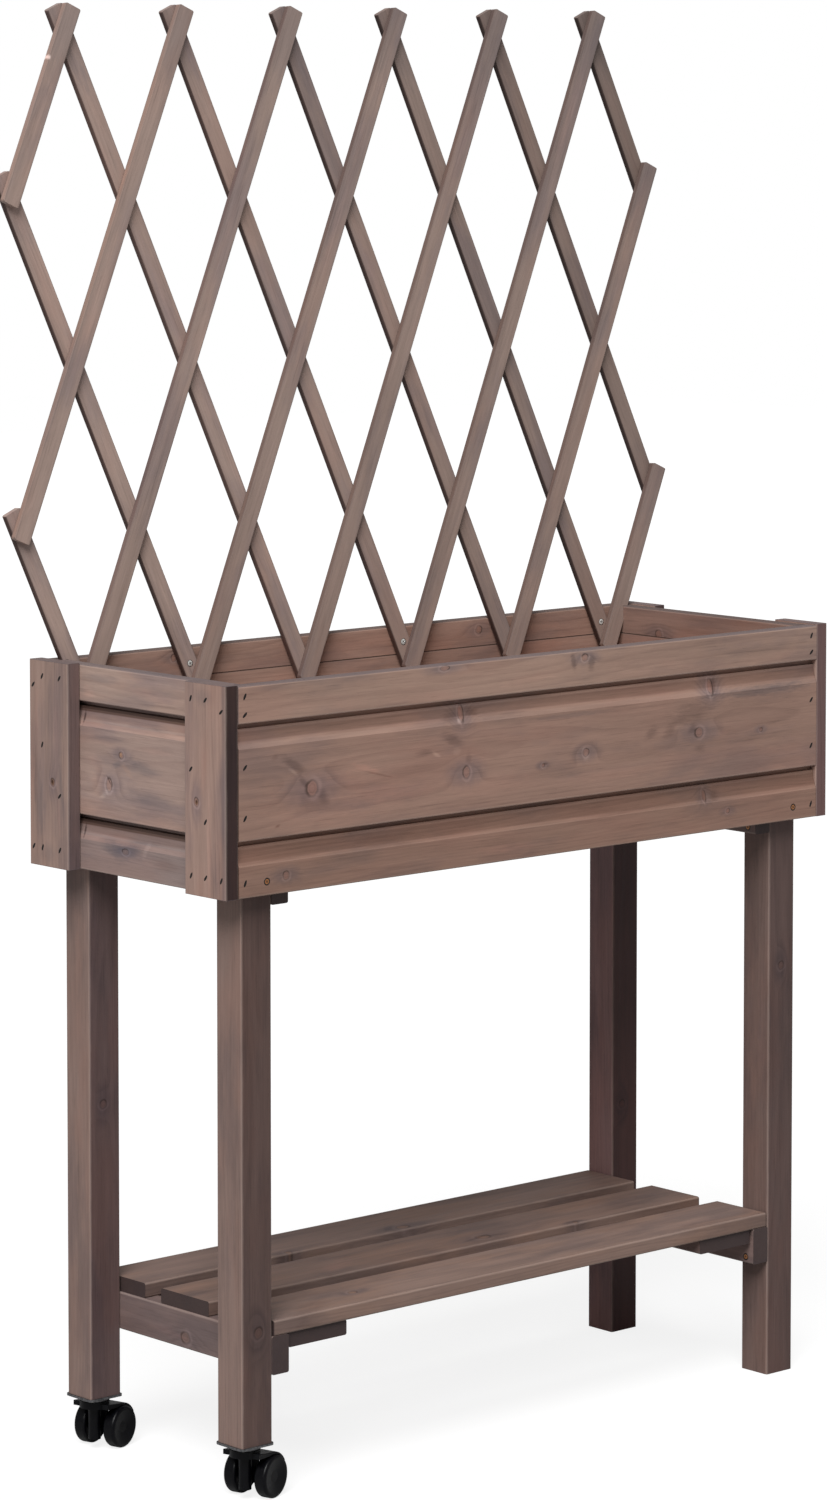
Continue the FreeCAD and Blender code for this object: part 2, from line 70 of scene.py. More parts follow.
ROW_STEP = sqrt(LATH_PITCH ** 2 - COLUMN_STEP ** 2)
LAST_COLUMN = 10
LAST_ROW = 4
LATH_W = 24.0 * MM
LATH_T = 8.0 * MM
LEAN = radians(2.6)
BOX_TOP = 949 * MM
LOWEST_CROSSING = 41 * MM            # below the wall's top edge
LATH_SCREW_UP = 26 * MM              # from the lowest crossing, along the lath


# ---- node tree helpers ----

def plug(tree, socket, value):
    """Links value to the socket, or sets it where it isn't a socket."""
    if isinstance(value, bpy.types.NodeSocket):
        tree.links.new(value, socket)
    else:
        socket.default_value = value


def add(tree, kind, inputs=None, **settings):
    node = tree.nodes.new(kind)
    for key, value in settings.items():
        setattr(node, key, value)
    for key, value in (inputs or {}).items():
        plug(tree, node.inputs[key], value)
    return node


def calc(tree, operation, *values):
    """Output of a maths node on numbers or sockets."""
    return add(tree, "ShaderNodeMath", dict(enumerate(values)), operation=operation).outputs[0]


def plus(tree, first, second):
    return calc(tree, "ADD", first, second)


def minus(tree, first, second):
    return calc(tree, "SUBTRACT", first, second)


def times(tree, first, second):
    return calc(tree, "MULTIPLY", first, second)


def ratio(tree, first, second):
    return calc(tree, "DIVIDE", first, second)


def vcalc(tree, operation, *values):
    """The same for vectors."""
    node = add(tree, "ShaderNodeVectorMath", dict(enumerate(values)), operation=operation)
    return node.outputs["Value" if operation in ("LENGTH", "DISTANCE", "DOT_PRODUCT") else "Vector"]


def blend(tree, factor, first, second, mode="MIX"):
    node = tree.nodes.new("ShaderNodeMix")
    node.data_type = "RGBA"
    node.blend_type = mode
    plug(tree, node.inputs[0], factor)
    plug(tree, node.inputs[6], first)
    plug(tree, node.inputs[7], second)
    return node.outputs[2]


def step(tree, value, low, high, to_low=0.0, to_high=1.0):
    """Smooth change from to_low to to_high while value goes from low to high."""
    node = add(tree, "ShaderNodeMapRange", {"Value": value, "From Min": low, "From Max": high,
                                            "To Min": to_low, "To Max": to_high},
               interpolation_type="SMOOTHSTEP")
    return node.outputs[0]


def noise(tree, vector, scale, detail=2.0, rough=0.5):
    node = add(tree, "ShaderNodeTexNoise", {"Vector": vector, "Scale": scale, "Detail": detail,
                                            "Roughness": rough})
    return node.outputs["Fac"]


def scaled(tree, vector, x, y, z):
    return vcalc(tree, "MULTIPLY", vector, (x, y, z))


def new_group(name, inputs, outputs):
    """An empty shader node group; returns its tree, the inputs by name and the output node."""
    group = bpy.data.node_groups.new(name, "ShaderNodeTree")
    for label, kind, value in inputs:
        socket = group.interface.new_socket(name=label, in_out="INPUT", socket_type="NodeSocket" + kind)
        socket.default_value = value
    for label, kind in outputs:
        group.interface.new_socket(name=label, in_out="OUTPUT", socket_type="NodeSocket" + kind)
    entry = group.nodes.new("NodeGroupInput")
    leave = group.nodes.new("NodeGroupOutput")
    sockets = {label: entry.outputs[label] for label, kind, value in inputs}
    return group, sockets, leave


def use(tree, group, inputs):
    node = tree.nodes.new("ShaderNodeGroup")
    node.node_tree = group
    for key, value in inputs.items():
        plug(tree, node.inputs[key], value)
    return node


def linear(red, green, blue):
    """A colour given in display values 0 to 255, as scene-linear RGBA."""
    out = []
    for value in (red, green, blue):
        v = value / 255
        out.append(v / 12.92 if v <= 0.04045 else ((v + 0.055) / 1.055) ** 2.4)
    return (*out, 1.0)


def new_material(name):
    """A material without nodes, and its tree."""
    mat = bpy.data.materials.new(name)
    mat.use_nodes = True
    mat.node_tree.nodes.clear()
    return mat, mat.node_tree


def set_surface(tree, shader):
    out = tree.nodes.new("ShaderNodeOutputMaterial")
    tree.links.new(shader.outputs[0], out.inputs[0])


def new_object(name, data):
    piece = bpy.data.objects.new(name, data)
    bpy.context.scene.collection.objects.link(piece)
    return piece


# ---- wood ----

def build_knot_group():
    """A knot: a short branch across the board, with a stained halo. It pushes the growth rings aside.

    rho is the distance from the knot's centre in knot radii, made uneven by noise. The dark rim and the pale ring
    outside it are crescents on opposite sides; Turn is the direction of the dark one.
    """
    tree, at, leave = new_group(
        "knot",
        [("Place", "Vector", (0, 0, 0)), ("Along", "Float", 0.0), ("Across", "Float", 0.0),
         ("Radius", "Float", 0.008), ("Long", "Float", 1.2), ("Turn", "Float", 0.0)],
        [("Swirl", "Float"), ("Heart", "Float"), ("Rim", "Float"), ("Pale", "Float"), ("Halo", "Float")])
    part = add(tree, "ShaderNodeSeparateXYZ", {0: at["Place"]})
    x = ratio(tree, minus(tree, part.outputs[0], at["Along"]),
             times(tree, at["Radius"], at["Long"]))
    y = ratio(tree, minus(tree, part.outputs[1], at["Across"]), at["Radius"])
    plane = add(tree, "ShaderNodeCombineXYZ", {0: x, 1: y, 2: at["Turn"]}).outputs[0]
    flat = add(tree, "ShaderNodeCombineXYZ", {0: x, 1: y}).outputs[0]
    rough = times(tree, minus(tree, noise(tree, plane, 0.7, 3.0), 0.5), 0.8)
    rho = plus(tree, vcalc(tree, "LENGTH", flat), rough)
    angle = minus(tree, calc(tree, "ARCTAN2", y, x), at["Turn"])
    side = step(tree, calc(tree, "COSINE", angle), -0.3, 0.9)
    wide = vcalc(tree, "LENGTH", scaled(tree, flat, 0.16, 0.36, 1.0))
    near = vcalc(tree, "LENGTH", scaled(tree, flat, 0.24, 0.42, 1.0))
    fade = calc(tree, "EXPONENT", times(tree, times(tree, near, near), -1.0))
    plug(tree, leave.inputs["Swirl"], times(tree, times(tree, fade, at["Radius"]), 1.3))
    plug(tree, leave.inputs["Heart"], step(tree, rho, 1.05, 0.7))
    ring = times(tree, step(tree, rho, 0.7, 0.98), step(tree, rho, 1.4, 1.02))
    inner = times(tree, step(tree, rho, 0.35, 0.5), step(tree, rho, 0.72, 0.55))
    rim = times(tree, ring, plus(tree, times(tree, side, 0.75), 0.25))
    plug(tree, leave.inputs["Rim"], plus(tree, rim, times(tree, inner, 0.22)))
    outer = times(tree, step(tree, rho, 0.95, 1.25), step(tree, rho, 1.9, 1.4))
    plug(tree, leave.inputs["Pale"], times(tree, outer, minus(tree, 1.1, side)))
    edge = plus(tree, wide, times(tree, rough, 0.6))
    plug(tree, leave.inputs["Halo"], step(tree, edge, 1.25, 0.2))
    return tree


def build_mark_group():
    """A soft patch of another stain: an ellipse with a ragged edge, drawn out along the grain.

    Along and Across place it, Long and Wide are its half sizes and Slant turns it. Amount is 1 in the middle.
    """
    tree, at, leave = new_group(
        "stain_mark",
        [("Place", "Vector", (0, 0, 0)), ("Along", "Float", 0.0), ("Across", "Float", 0.0),
         ("Long", "Float", 0.02), ("Wide", "Float", 0.01), ("Slant", "Float", 0.0)],
        [("Amount", "Float")])
    part = add(tree, "ShaderNodeSeparateXYZ", {0: at["Place"]})
    x = minus(tree, part.outputs[0], at["Along"])
    y = minus(tree, part.outputs[1], at["Across"])
    c, s = calc(tree, "COSINE", at["Slant"]), calc(tree, "SINE", at["Slant"])
    u = plus(tree, times(tree, x, c), times(tree, y, s))
    v = minus(tree, times(tree, y, c), times(tree, x, s))
    u, v = ratio(tree, u, at["Long"]), ratio(tree, v, at["Wide"])
    away = vcalc(tree, "LENGTH", add(tree, "ShaderNodeCombineXYZ", {0: u, 1: v}).outputs[0])
    drawn_out = scaled(tree, at["Place"], 55.0, 330.0, 330.0)
    ragged = minus(tree, noise(tree, drawn_out, 1.0, 3.0, 0.6), 0.5)
    away = plus(tree, away, times(tree, ragged, 1.3))
    plug(tree, leave.inputs["Amount"], step(tree, away, 1.15, 0.2))
    return tree


def build_wood_group():
    """Stained softwood as a solid of growth rings.

    Place is in metres with x along the grain. The log's axis passes at Pith. r is the distance from that axis,
    bent by slow noise, by the taper of the log and by knots; the rings are r over the ring width, light early
    wood that turns slowly dark and ends sharply. Soft streaks, fine fibres, and slow clouds of cool and warm
    stain lie over it, and the rings show more near knots.
    """
    tree, at, leave = new_group(
        "stained_softwood",
        [("Place", "Vector", (0, 0, 0)), ("Seed", "Float", 0.0), ("Pith", "Vector", (0, 0.02, -0.06)),
         ("Ring", "Float", 0.0032), ("Taper", "Float", 0.012), ("Swirl", "Float", 0.0), ("Heart", "Float", 0.0),
         ("Rim", "Float", 0.0), ("Pale", "Float", 0.0), ("Halo", "Float", 0.0),
         ("Early", "Color", (0.3, 0.2, 0.15, 1)), ("Late", "Color", (0.2, 0.13, 0.1, 1)),
         ("Cool", "Color", (0.18, 0.15, 0.15, 1)), ("Warm", "Color", (0.3, 0.18, 0.14, 1)),
         ("Contrast", "Float", 0.5), ("Clouding", "Float", 0.5)],
        [("Colour", "Color"), ("Roughness", "Float"), ("Height", "Float")])
    seeds = add(tree, "ShaderNodeCombineXYZ", {0: at["Seed"], 1: at["Seed"], 2: at["Seed"]}).outputs[0]
    offset = vcalc(tree, "MULTIPLY", seeds, (0.731, 0.417, 0.293))
    place = vcalc(tree, "ADD", at["Place"], offset)
    part = add(tree, "ShaderNodeSeparateXYZ", {0: at["Place"]})
    pith = add(tree, "ShaderNodeSeparateXYZ", {0: at["Pith"]})
    dy = minus(tree, part.outputs[1], pith.outputs[1])
    dz = minus(tree, part.outputs[2], pith.outputs[2])
    r = calc(tree, "SQRT", plus(tree, times(tree, dy, dy), times(tree, dz, dz)))
    slow = minus(tree, noise(tree, scaled(tree, place, 2.2, 11.0, 11.0), 1.0, 1.0), 0.5)
    quick = minus(tree, noise(tree, scaled(tree, place, 11.0, 60.0, 60.0), 1.0, 1.0), 0.5)
    bend = plus(tree, times(tree, slow, 0.03), times(tree, quick, 0.0022))
    bend = plus(tree, bend, times(tree, part.outputs[0], at["Taper"]))
    r = plus(tree, plus(tree, r, bend), at["Swirl"])
    turns = ratio(tree, r, at["Ring"])
    phase = calc(tree, "FRACT", turns)
    late = times(tree, step(tree, phase, 0.15, 0.85), step(tree, phase, 1.0, 0.86))
    year = add(tree, "ShaderNodeTexWhiteNoise", {"W": calc(tree, "FLOOR", turns)}, noise_dimensions="1D")
    late = times(tree, late, plus(tree, times(tree, year.outputs[0], 0.85), 0.15))
    fibre = noise(tree, scaled(tree, place, 45.0, 1100.0, 1100.0), 1.0, 2.0, 0.6)
    streak = noise(tree, scaled(tree, place, 4.5, 75.0, 75.0), 1.0, 4.0, 0.62)
    cloud = noise(tree, scaled(tree, place, 5.0, 19.0, 19.0), 1.0, 4.0, 0.6)
    beside = vcalc(tree, "ADD", place, (3.1, 1.7, 5.3))
    blush = noise(tree, scaled(tree, beside, 4.0, 15.0, 15.0), 1.0, 3.0, 0.6)
    fleck = noise(tree, scaled(tree, place, 120.0, 1300.0, 1300.0), 1.0, 0.0)
    line = noise(tree, scaled(tree, place, 13.0, 430.0, 430.0), 1.0, 3.0, 0.65)

    show = times(tree, at["Contrast"], plus(tree, times(tree, at["Halo"], 1.2), 0.6))
    colour = blend(tree, times(tree, late, show), at["Early"], at["Late"])
    warm = times(tree, step(tree, blush, 0.44, 0.66), times(tree, at["Clouding"], 0.9))
    colour = blend(tree, warm, colour, at["Warm"])
    cool = times(tree, step(tree, cloud, 0.45, 0.68), at["Clouding"])
    cool = calc(tree, "MAXIMUM", cool, times(tree, at["Halo"], 0.7))
    colour = blend(tree, cool, colour, at["Cool"])
    value = plus(tree, times(tree, minus(tree, fibre, 0.5), 0.20),
                 times(tree, minus(tree, streak, 0.5), 0.55))
    value = plus(tree, value, times(tree, minus(tree, cloud, 0.5), -0.35))
    value = minus(tree, value, times(tree, step(tree, fleck, 0.74, 0.82), 0.12))
    value = minus(tree, value, times(tree, step(tree, line, 0.55, 0.70), 0.16))
    value = plus(tree, value, times(tree, step(tree, line, 0.43, 0.30), 0.09))
    value = plus(tree, value, times(tree, at["Pale"], 0.24))
    value = plus(tree, value, 1.0)
    colour = blend(tree, times(tree, at["Heart"], 0.6), colour, at["Warm"])
    bright = add(tree, "ShaderNodeCombineXYZ", {0: value, 1: value, 2: value}).outputs[0]
    colour = blend(tree, 1.0, colour, bright, "MULTIPLY")
    colour = blend(tree, times(tree, at["Rim"], 0.75), colour, linear(70, 52, 45))
    plug(tree, leave.inputs["Colour"], colour)
    rough = plus(tree, times(tree, fibre, 0.18), times(tree, late, -0.08))
    plug(tree, leave.inputs["Roughness"], plus(tree, rough, 0.52))
    height = plus(tree, times(tree, late, 0.4), times(tree, fibre, 0.6))
    height = minus(tree, height, times(tree, at["Rim"], 0.6))
    plug(tree, leave.inputs["Height"], height)
    return tree


def build_edge_group():
    """Where a piece of timber with half sizes Half has its edges and faces. Place is from its middle.

    Edge is 1 along the four long edges, within about Width. End is 1 on the sawn ends, Side on the two faces
    across the width, Broad on the two faces across the thickness and Top within 1 mm of the upper side face.
    """
    tree, at, leave = new_group(
        "timber_edges",
        [("Place", "Vector", (0, 0, 0)), ("Half", "Vector", (1, 1, 1)), ("Width", "Float", 0.003)],
        [("Edge", "Float"), ("End", "Float"), ("Side", "Float"), ("Broad", "Float"), ("Top", "Float")])
    gap = vcalc(tree, "SUBTRACT", at["Half"], vcalc(tree, "ABSOLUTE", at["Place"]))
    part = add(tree, "ShaderNodeSeparateXYZ", {0: gap})
    rub = noise(tree, scaled(tree, at["Place"], 40.0, 300.0, 300.0), 1.0, 2.0)
    width = times(tree, at["Width"], plus(tree, rub, 0.5))
    near_y = step(tree, part.outputs[1], width, 0.0)
    near_z = step(tree, part.outputs[2], width, 0.0)
    plug(tree, leave.inputs["Edge"], times(tree, near_y, near_z))
    plug(tree, leave.inputs["End"], step(tree, part.outputs[0], 0.0006, 0.0002))
    plug(tree, leave.inputs["Side"], step(tree, part.outputs[1], 0.0012, 0.0004))
    plug(tree, leave.inputs["Broad"], step(tree, part.outputs[2], 0.0012, 0.0004))
    upper = add(tree, "ShaderNodeSeparateXYZ", {0: vcalc(tree, "SUBTRACT", at["Half"], at["Place"])})
    plug(tree, leave.inputs["Top"], step(tree, upper.outputs[1], 0.0016, 0.0006))
    return tree


KNOT = build_knot_group()
MARK = build_mark_group()
WOOD = build_wood_group()
EDGES = build_edge_group()

# Stains, as early wood, late wood, cool cloud, warm cloud.
STAINS = {
    "front": (linear(148, 121, 106), linear(108, 84, 74), linear(116, 101, 98), linear(148, 113, 99)),
    "end": (linear(150, 129, 120), linear(112, 92, 86), linear(122, 108, 109), linear(152, 121, 109)),
    "inner": (linear(156, 126, 112), linear(112, 86, 75), linear(122, 102, 97), linear(154, 114, 98)),
    "leg": (linear(132, 110, 102), linear(92, 74, 69), linear(108, 92, 90), linear(134, 103, 92)),
    "shelf": (linear(142, 120, 109), linear(100, 81, 74), linear(108, 94, 92), linear(150, 118, 98)),
    "rail": (linear(113, 96, 92), linear(80, 65, 62), linear(96, 83, 83), linear(116, 92, 84)),
    "trellis": (linear(152, 134, 124), linear(116, 99, 92), linear(128, 117, 118), linear(156, 130, 118)),
}
# What a mark multiplies the stain under it by.
MARK_STAINS = {"blue": (0.58, 0.65, 0.74, 1), "grey": (0.58, 0.57, 0.59, 1), "pale": (1.5, 1.6, 1.6, 1),
               "pink": (1.22, 1.13, 1.12, 1), "dark": (0.30, 0.27, 0.28, 1), "brown": (0.64, 0.57, 0.55, 1),
               "orange": (1.35, 1.18, 1.02, 1), "amber": (0.46, 0.36, 0.22, 1), "gold": (1.4, 1.2, 0.75, 1),
               "white": (3.6, 3.9, 4.2, 1)}
DARK_END = linear(84, 70, 68)
# Lighter long edges: wear with a painted highlight.
EDGE_WEAR_AND_HIGHLIGHT = linear(178, 160, 150)


def turn_of(along, across):
    """Rotation whose first two columns are the directions along the grain and across the board."""
    return Matrix((along, across, along.cross(across))).transposed()


def timber(name, middle, along, across, half, stain, seed, pith=(0.02, -0.055), ring=3.8, knots=(), marks=(),
           bands=(), contrast=0.42, clouding=0.55, worn=0.3, side=0.0, broad=0.0, end=0.6, top=0.0,
           side_colour=DARK_END, end_colour=DARK_END, edge_colour=EDGE_WEAR_AND_HIGHLIGHT, tone=(1.0, 1.0, 1.0)):
    """Material of one piece of timber, with the wood's own directions.

    knots are (along, across, radius, length ratio, turn) and marks are (along, across, half length, half width,
    slant, name in MARK_STAINS, amount), in millimetres from the middle. bands are (low, high, softness, colour
    to multiply by) across the board, over its whole length, also in millimetres; on the walls and on a cover they
    hold painted shade and painted highlights. side and broad multiply the narrow and the broad faces by
    side_colour, which on the laths is painted shade. end and top mix end_colour over the sawn ends and the upper
    edge, and worn mixes edge_colour over the long edges: on the boards a lighter edge, wear with a painted
    highlight, and on the laths a darker outline. tone multiplies the stain; on the slats, the legs, the inner back
    wall and the laths it also holds painted light and shade.
    """
    mat, tree = new_material(name)
    early, late, cool, warm = (tuple(c * t for c, t in zip(colour, tone + (1.0,))) for colour in STAINS[stain])
    coords = tree.nodes.new("ShaderNodeTexCoord")
    place = add(tree, "ShaderNodeMapping", {"Vector": coords.outputs["Object"], "Location": middle,
                                            "Rotation": turn_of(along, across).to_euler()}, vector_type="TEXTURE")
    place = place.outputs[0]
    total = {}
    for k_along, k_across, k_radius, k_long, k_turn in knots:
        one = use(tree, KNOT, {"Place": place, "Along": k_along * MM, "Across": k_across * MM,
                               "Radius": k_radius * MM, "Long": k_long, "Turn": k_turn})
        for label in ("Swirl", "Heart", "Rim", "Pale", "Halo"):
            operation = "ADD" if label == "Swirl" else "MAXIMUM"
            total[label] = calc(tree, operation, total[label], one.outputs[label]) if label in total \
                else one.outputs[label]
    wood = use(tree, WOOD, {"Place": place, "Seed": float(seed), "Pith": (0, *pith), "Ring": ring * MM,
                            "Early": early, "Late": late, "Cool": cool, "Warm": warm, "Contrast": contrast,
                            "Clouding": clouding, **total})
    edges = use(tree, EDGES, {"Place": place, "Half": half, "Width": 0.0032})
    colour = wood.outputs["Colour"]
    for m_along, m_across, m_long, m_wide, slant, stained, amount in marks:
        patch = use(tree, MARK, {"Place": place, "Along": m_along * MM, "Across": m_across * MM,
                                 "Long": m_long * MM, "Wide": m_wide * MM, "Slant": slant})
        there = blend(tree, 1.0, colour, MARK_STAINS[stained], "MULTIPLY")
        colour = blend(tree, times(tree, patch.outputs[0], amount), colour, there)
    if bands:
        height = add(tree, "ShaderNodeSeparateXYZ", {0: place}).outputs[1]
    for low, high, soft, tint in bands:
        inside = times(tree, step(tree, height, (low - soft) * MM, (low + soft) * MM),
                      step(tree, height, (high + soft) * MM, (high - soft) * MM))
        colour = blend(tree, inside, colour, blend(tree, 1.0, colour, (*tint, 1.0), "MULTIPLY"))
    for label, amount in (("Side", side), ("Broad", broad)):
        if amount:
            darker = blend(tree, 1.0, colour, side_colour, "MULTIPLY")
            colour = blend(tree, times(tree, edges.outputs[label], amount), colour, darker)
    colour = blend(tree, times(tree, edges.outputs["Edge"], worn), colour, edge_colour)
    colour = blend(tree, times(tree, edges.outputs["Top"], top), colour, end_colour)
    colour = blend(tree, times(tree, edges.outputs["End"], end), colour, end_colour)
    bump = add(tree, "ShaderNodeBump", {"Height": wood.outputs["Height"], "Strength": 0.35, "Distance": 0.0004})
    shader = add(tree, "ShaderNodeBsdfPrincipled", {"Base Color": colour, "Roughness": wood.outputs["Roughness"],
                                                    "Normal": bump.outputs[0], "Specular IOR Level": 0.28})
    set_surface(tree, shader)
    return mat


def dress(node, mat):
    """Gives a CAD node its material."""
    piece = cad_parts[node]
    piece.data.materials.clear()
    piece.data.materials.append(mat)


def span(node):
    """Middle and half sizes of a CAD node's box."""
    low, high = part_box(node)
    low, high = Vector(low), Vector(high)
    return (low + high) / 2, (high - low) / 2


def half_along(half, along, across):
    """Half sizes of a square-set board along its grain, across it and through it."""
    out = along.cross(across)
    return (abs(half.dot(along)), abs(half.dot(across)), abs(half.dot(out)))


def dress_timber(node, along, across, stain, seed, knots=(), marks=(), bands=(), **looks):
    """knots, marks and bands are as in timber, but placed in millimetres in the part's frame."""
    middle, size = span(node)
    start = (middle.dot(along) / MM, middle.dot(across) / MM)
    knots, marks = ([(a - start[0], b - start[1], *rest) for a, b, *rest in spots] for spots in (knots, marks))
    bands = [(low - start[1], high - start[1], *rest) for low, high, *rest in bands]
    dress(node, timber("wood_" + node, middle, along, across, half_along(size, along, across), stain, seed,
                       knots=knots, marks=marks, bands=bands, **looks))


# Walls. Knots and marks are at (x, z) on the long walls and (y, z) on the end walls.
FRONT_KNOTS = {
    "top": [(69, 940, 4.0, 1.2, 1.5), (-158, 945, 3.0, 2.2, 0.5)],
    "middle": [(-363, 823, 9.0, 1.0, 3.0), (-130, 889, 10.0, 0.42, -0.2), (-124, 819, 7.0, 0.8, 2.6),
               (71, 825, 5.0, 0.9, 0.6), (0, 816, 2.4, 1.0, 0.0), (263, 832, 6.0, 1.2, 3.1),
               (285, 886, 10.0, 0.42, -0.2), (372, 826, 2.6, 1.0, 0.0)],
    "bottom": [(275, 752, 7.0, 0.45, -0.2), (-402, 727, 4.5, 1.0, 2.0), (314, 730, 3.0, 1.0, 0.0)],
}
LEFT_KNOTS = {
    "top": [],
    "middle": [(23, 849, 4.0, 1.0, 0.0), (46, 812, 7.5, 0.7, 2.4)],
    "bottom": [(16, 737, 3.5, 1.6, 1.0)],
}
# The broad grey patches on the right halves of the top and middle boards are painted shade, darker towards the
# right. On the two knots in the middle board's hollow, at x -134 and 285, the pale marks are painted highlights,
# and the brown marks to their right are partly knot colour and partly painted shadow.
FRONT_MARKS = {
    "top": [(50, 936, 5, 13, 0.2, "grey", 0.75), (80, 932, 7, 11, -0.2, "grey", 0.7),
            (64, 941, 3, 9, 0.2, "orange", 0.5), (-420, 944, 40, 5, 0.0, "blue", 0.4),
            (-20, 922, 60, 8, 0.1, "pink", 0.35), (300, 930, 240, 40, 0.0, "grey", 0.25)],
    "middle": [(-390, 853, 26, 7, -0.5, "grey", 0.75), (-391, 845, 10, 3, -0.6, "pale", 0.6),
               (-376, 832, 10, 5, -0.8, "grey", 0.7), (-345, 811, 9, 13, 0.5, "grey", 0.6),
               (-280, 838, 26, 4, -0.3, "pink", 0.7), (-262, 830, 30, 1.6, -0.25, "brown", 0.6),
               (-190, 848, 18, 6, 0.1, "grey", 0.5), (-172, 845, 9, 3, -0.5, "pale", 0.6),
               (-146, 860, 22, 9, -0.4, "grey", 0.7), (-139, 846, 8, 7, 0.0, "pale", 0.3),
               (-120, 835, 6, 9, 0.0, "grey", 0.5), (-147, 886, 16, 9, 0.1, "grey", 0.6),
               (-112, 890, 13, 7, 0.0, "brown", 0.7), (-132, 893, 3.4, 7, 0.1, "pink", 0.9),
               (-134, 881, 5, 3.4, 0.3, "pale", 0.9), (44, 872, 90, 4, 0.0, "blue", 0.5),
               (180, 838, 16, 8, 0.5, "grey", 0.6), (212, 838, 15, 9, 0.6, "grey", 0.5),
               (226, 842, 9, 4, 0.4, "pale", 0.35), (248, 858, 42, 16, 0.1, "grey", 0.55),
               (252, 838, 10, 7, 0.9, "grey", 0.6), (281, 888, 3.2, 8, -0.1, "pink", 0.9),
               (291, 888, 5, 10, -0.1, "brown", 0.8), (285, 875, 5, 4, 0.0, "pale", 0.6),
               (372, 875, 110, 8, 0.0, "blue", 0.85), (330, 840, 170, 60, 0.0, "grey", 0.2),
               (265, 813, 12, 7, 0.0, "grey", 0.4), (-418, 864, 7, 4, 0.4, "brown", 0.4),
               (-414, 785, 5, 2, 0.3, "brown", 0.8), (3, 817, 5, 2, 0, "brown", 0.8),
               (71, 820, 7, 8, 0.0, "pale", 0.3), (372, 828, 6, 2.4, 0, "brown", 0.7),
               (-80, 800, 90, 14, 0.0, "pink", 0.35), (-250, 805, 90, 10, 0.0, "pink", 0.3),
               (-330, 810, 130, 40, 0.0, "pink", 0.6), (120, 795, 90, 9, 0.0, "pink", 0.35)],
    "bottom": [(282, 750, 8, 5, 0, "pale", 0.6), (292, 752, 12, 9, 0.3, "grey", 0.5),
               (312, 730, 12, 6, 0.0, "pink", 0.5), (-250, 754, 60, 5, 0.0, "brown", 0.35),
               (-60, 722, 70, 6, 0.0, "pink", 0.4), (170, 745, 90, 4, 0, "brown", 0.3)],
}
# The thin dark marks at y 96, in the hollows next to the back cover, are painted shade.
LEFT_MARKS = {
    "top": [(60, 935, 40, 7, 0.0, "blue", 0.45), (-30, 925, 60, 8, 0.1, "pink", 0.35),
            (85, 918, 14, 9, 0.5, "pink", 0.5)],
    "middle": [(96, 887, 2.2, 10, 0.0, "dark", 0.9), (46, 817, 7, 1.3, 0.9, "dark", 0.95),
               (66, 812, 16, 20, 0.2, "orange", 0.33), (52, 802, 16, 4, -0.5, "pale", 0.4),
               (14, 833, 18, 5, 0.6, "orange", 0.3), (-14, 838, 40, 9, 0.1, "blue", 0.6),
               (30, 838, 14, 5, -0.3, "blue", 0.6), (24, 850, 3.2, 3.0, 0.0, "gold", 0.8),
               (-30, 803, 60, 10, 0.1, "blue", 0.35), (45, 866, 40, 5, 0.0, "blue", 0.3),
               (75, 838, 20, 12, 0.3, "pink", 0.4), (-40, 860, 40, 5, 0.0, "pink", 0.4)],
    "bottom": [(96, 753, 2.2, 10, 0.0, "dark", 0.9), (35, 737, 34, 13, 0.3, "blue", 0.6),
               (6, 742, 28, 11, -0.2, "blue", 0.55), (73, 738, 20, 10, 0.2, "pink", 0.3),
               (-22, 743, 5, 14, 0.5, "pale", 0.35), (-60, 730, 30, 12, 0.0, "brown", 0.35),
               (40, 752, 50, 4, 0.0, "pink", 0.4)],
}
# The broad brown marks over the right half of the inner back wall are painted shade, darker towards the right.
INNER_MARKS = {"top": [(-265, 932, 22, 9, 0.0, "blue", 0.6), (250, 930, 260, 40, 0.0, "brown", 0.35)],
               "middle": [(250, 890, 260, 60, 0.0, "brown", 0.35), (-100, 900, 60, 10, 0.0, "pink", 0.4)],
               "bottom": []}
INNER_KNOTS = {"top": [(212, 934, 5.0, 1.0, 0.0), (-287, 937, 4.0, 1.0, 2.0)],
               "middle": [(-80, 850, 7.0, 1.0, 0.0)], "bottom": []}
RIGHT_KNOTS = {"top": [(73, 917, 5.5, 1.0, 0.0)], "middle": [(-40, 830, 7.0, 1.0, 1.0)], "bottom": []}
PITHS = {"top": (0.035, -0.05), "middle": (-0.012, -0.062), "bottom": (0.05, -0.045)}
FRONT_TONES = {"bottom": (0.93, 0.86, 0.86), "middle": (1.1, 1.05, 1.08), "top": (1.24, 1.25, 1.29)}
LEFT_TONES = {"bottom": (0.86, 0.9, 0.97), "middle": (1.2, 1.17, 1.16), "top": (1.26, 1.24, 1.21)}
PALE_EDGE = linear(98, 88, 91)
INNER_EDGE = linear(88, 76, 74)
# Painted light on the wall boards: the hollow under each lip gets painted shade above, where the lip shades it,
# and a thin painted highlight at its foot; the rounded lip is painted paler, its underside painted dark as shade,
# and on the left wall a band of painted shadow lies just under the lip.
HOLLOW_SHADE_AND_HIGHLIGHT = {"front": ((0.72, 0.68, 0.66), (1.06, 1.10, 1.12)),
                "end": ((0.93, 0.89, 0.88), (1.10, 1.03, 1.0)),
                "left": ((0.85, 0.8, 0.78), (1.10, 1.03, 1.0))}
LIP_PAINTED_HIGHLIGHT = (1.9, 1.95, 2.0)
LIP_UNDERSIDE_SHADE = (0.35, 0.25, 0.2)
GROOVE_SHADES = ((0.48, 0.41, 0.37), (0.5, 0.45, 0.42))


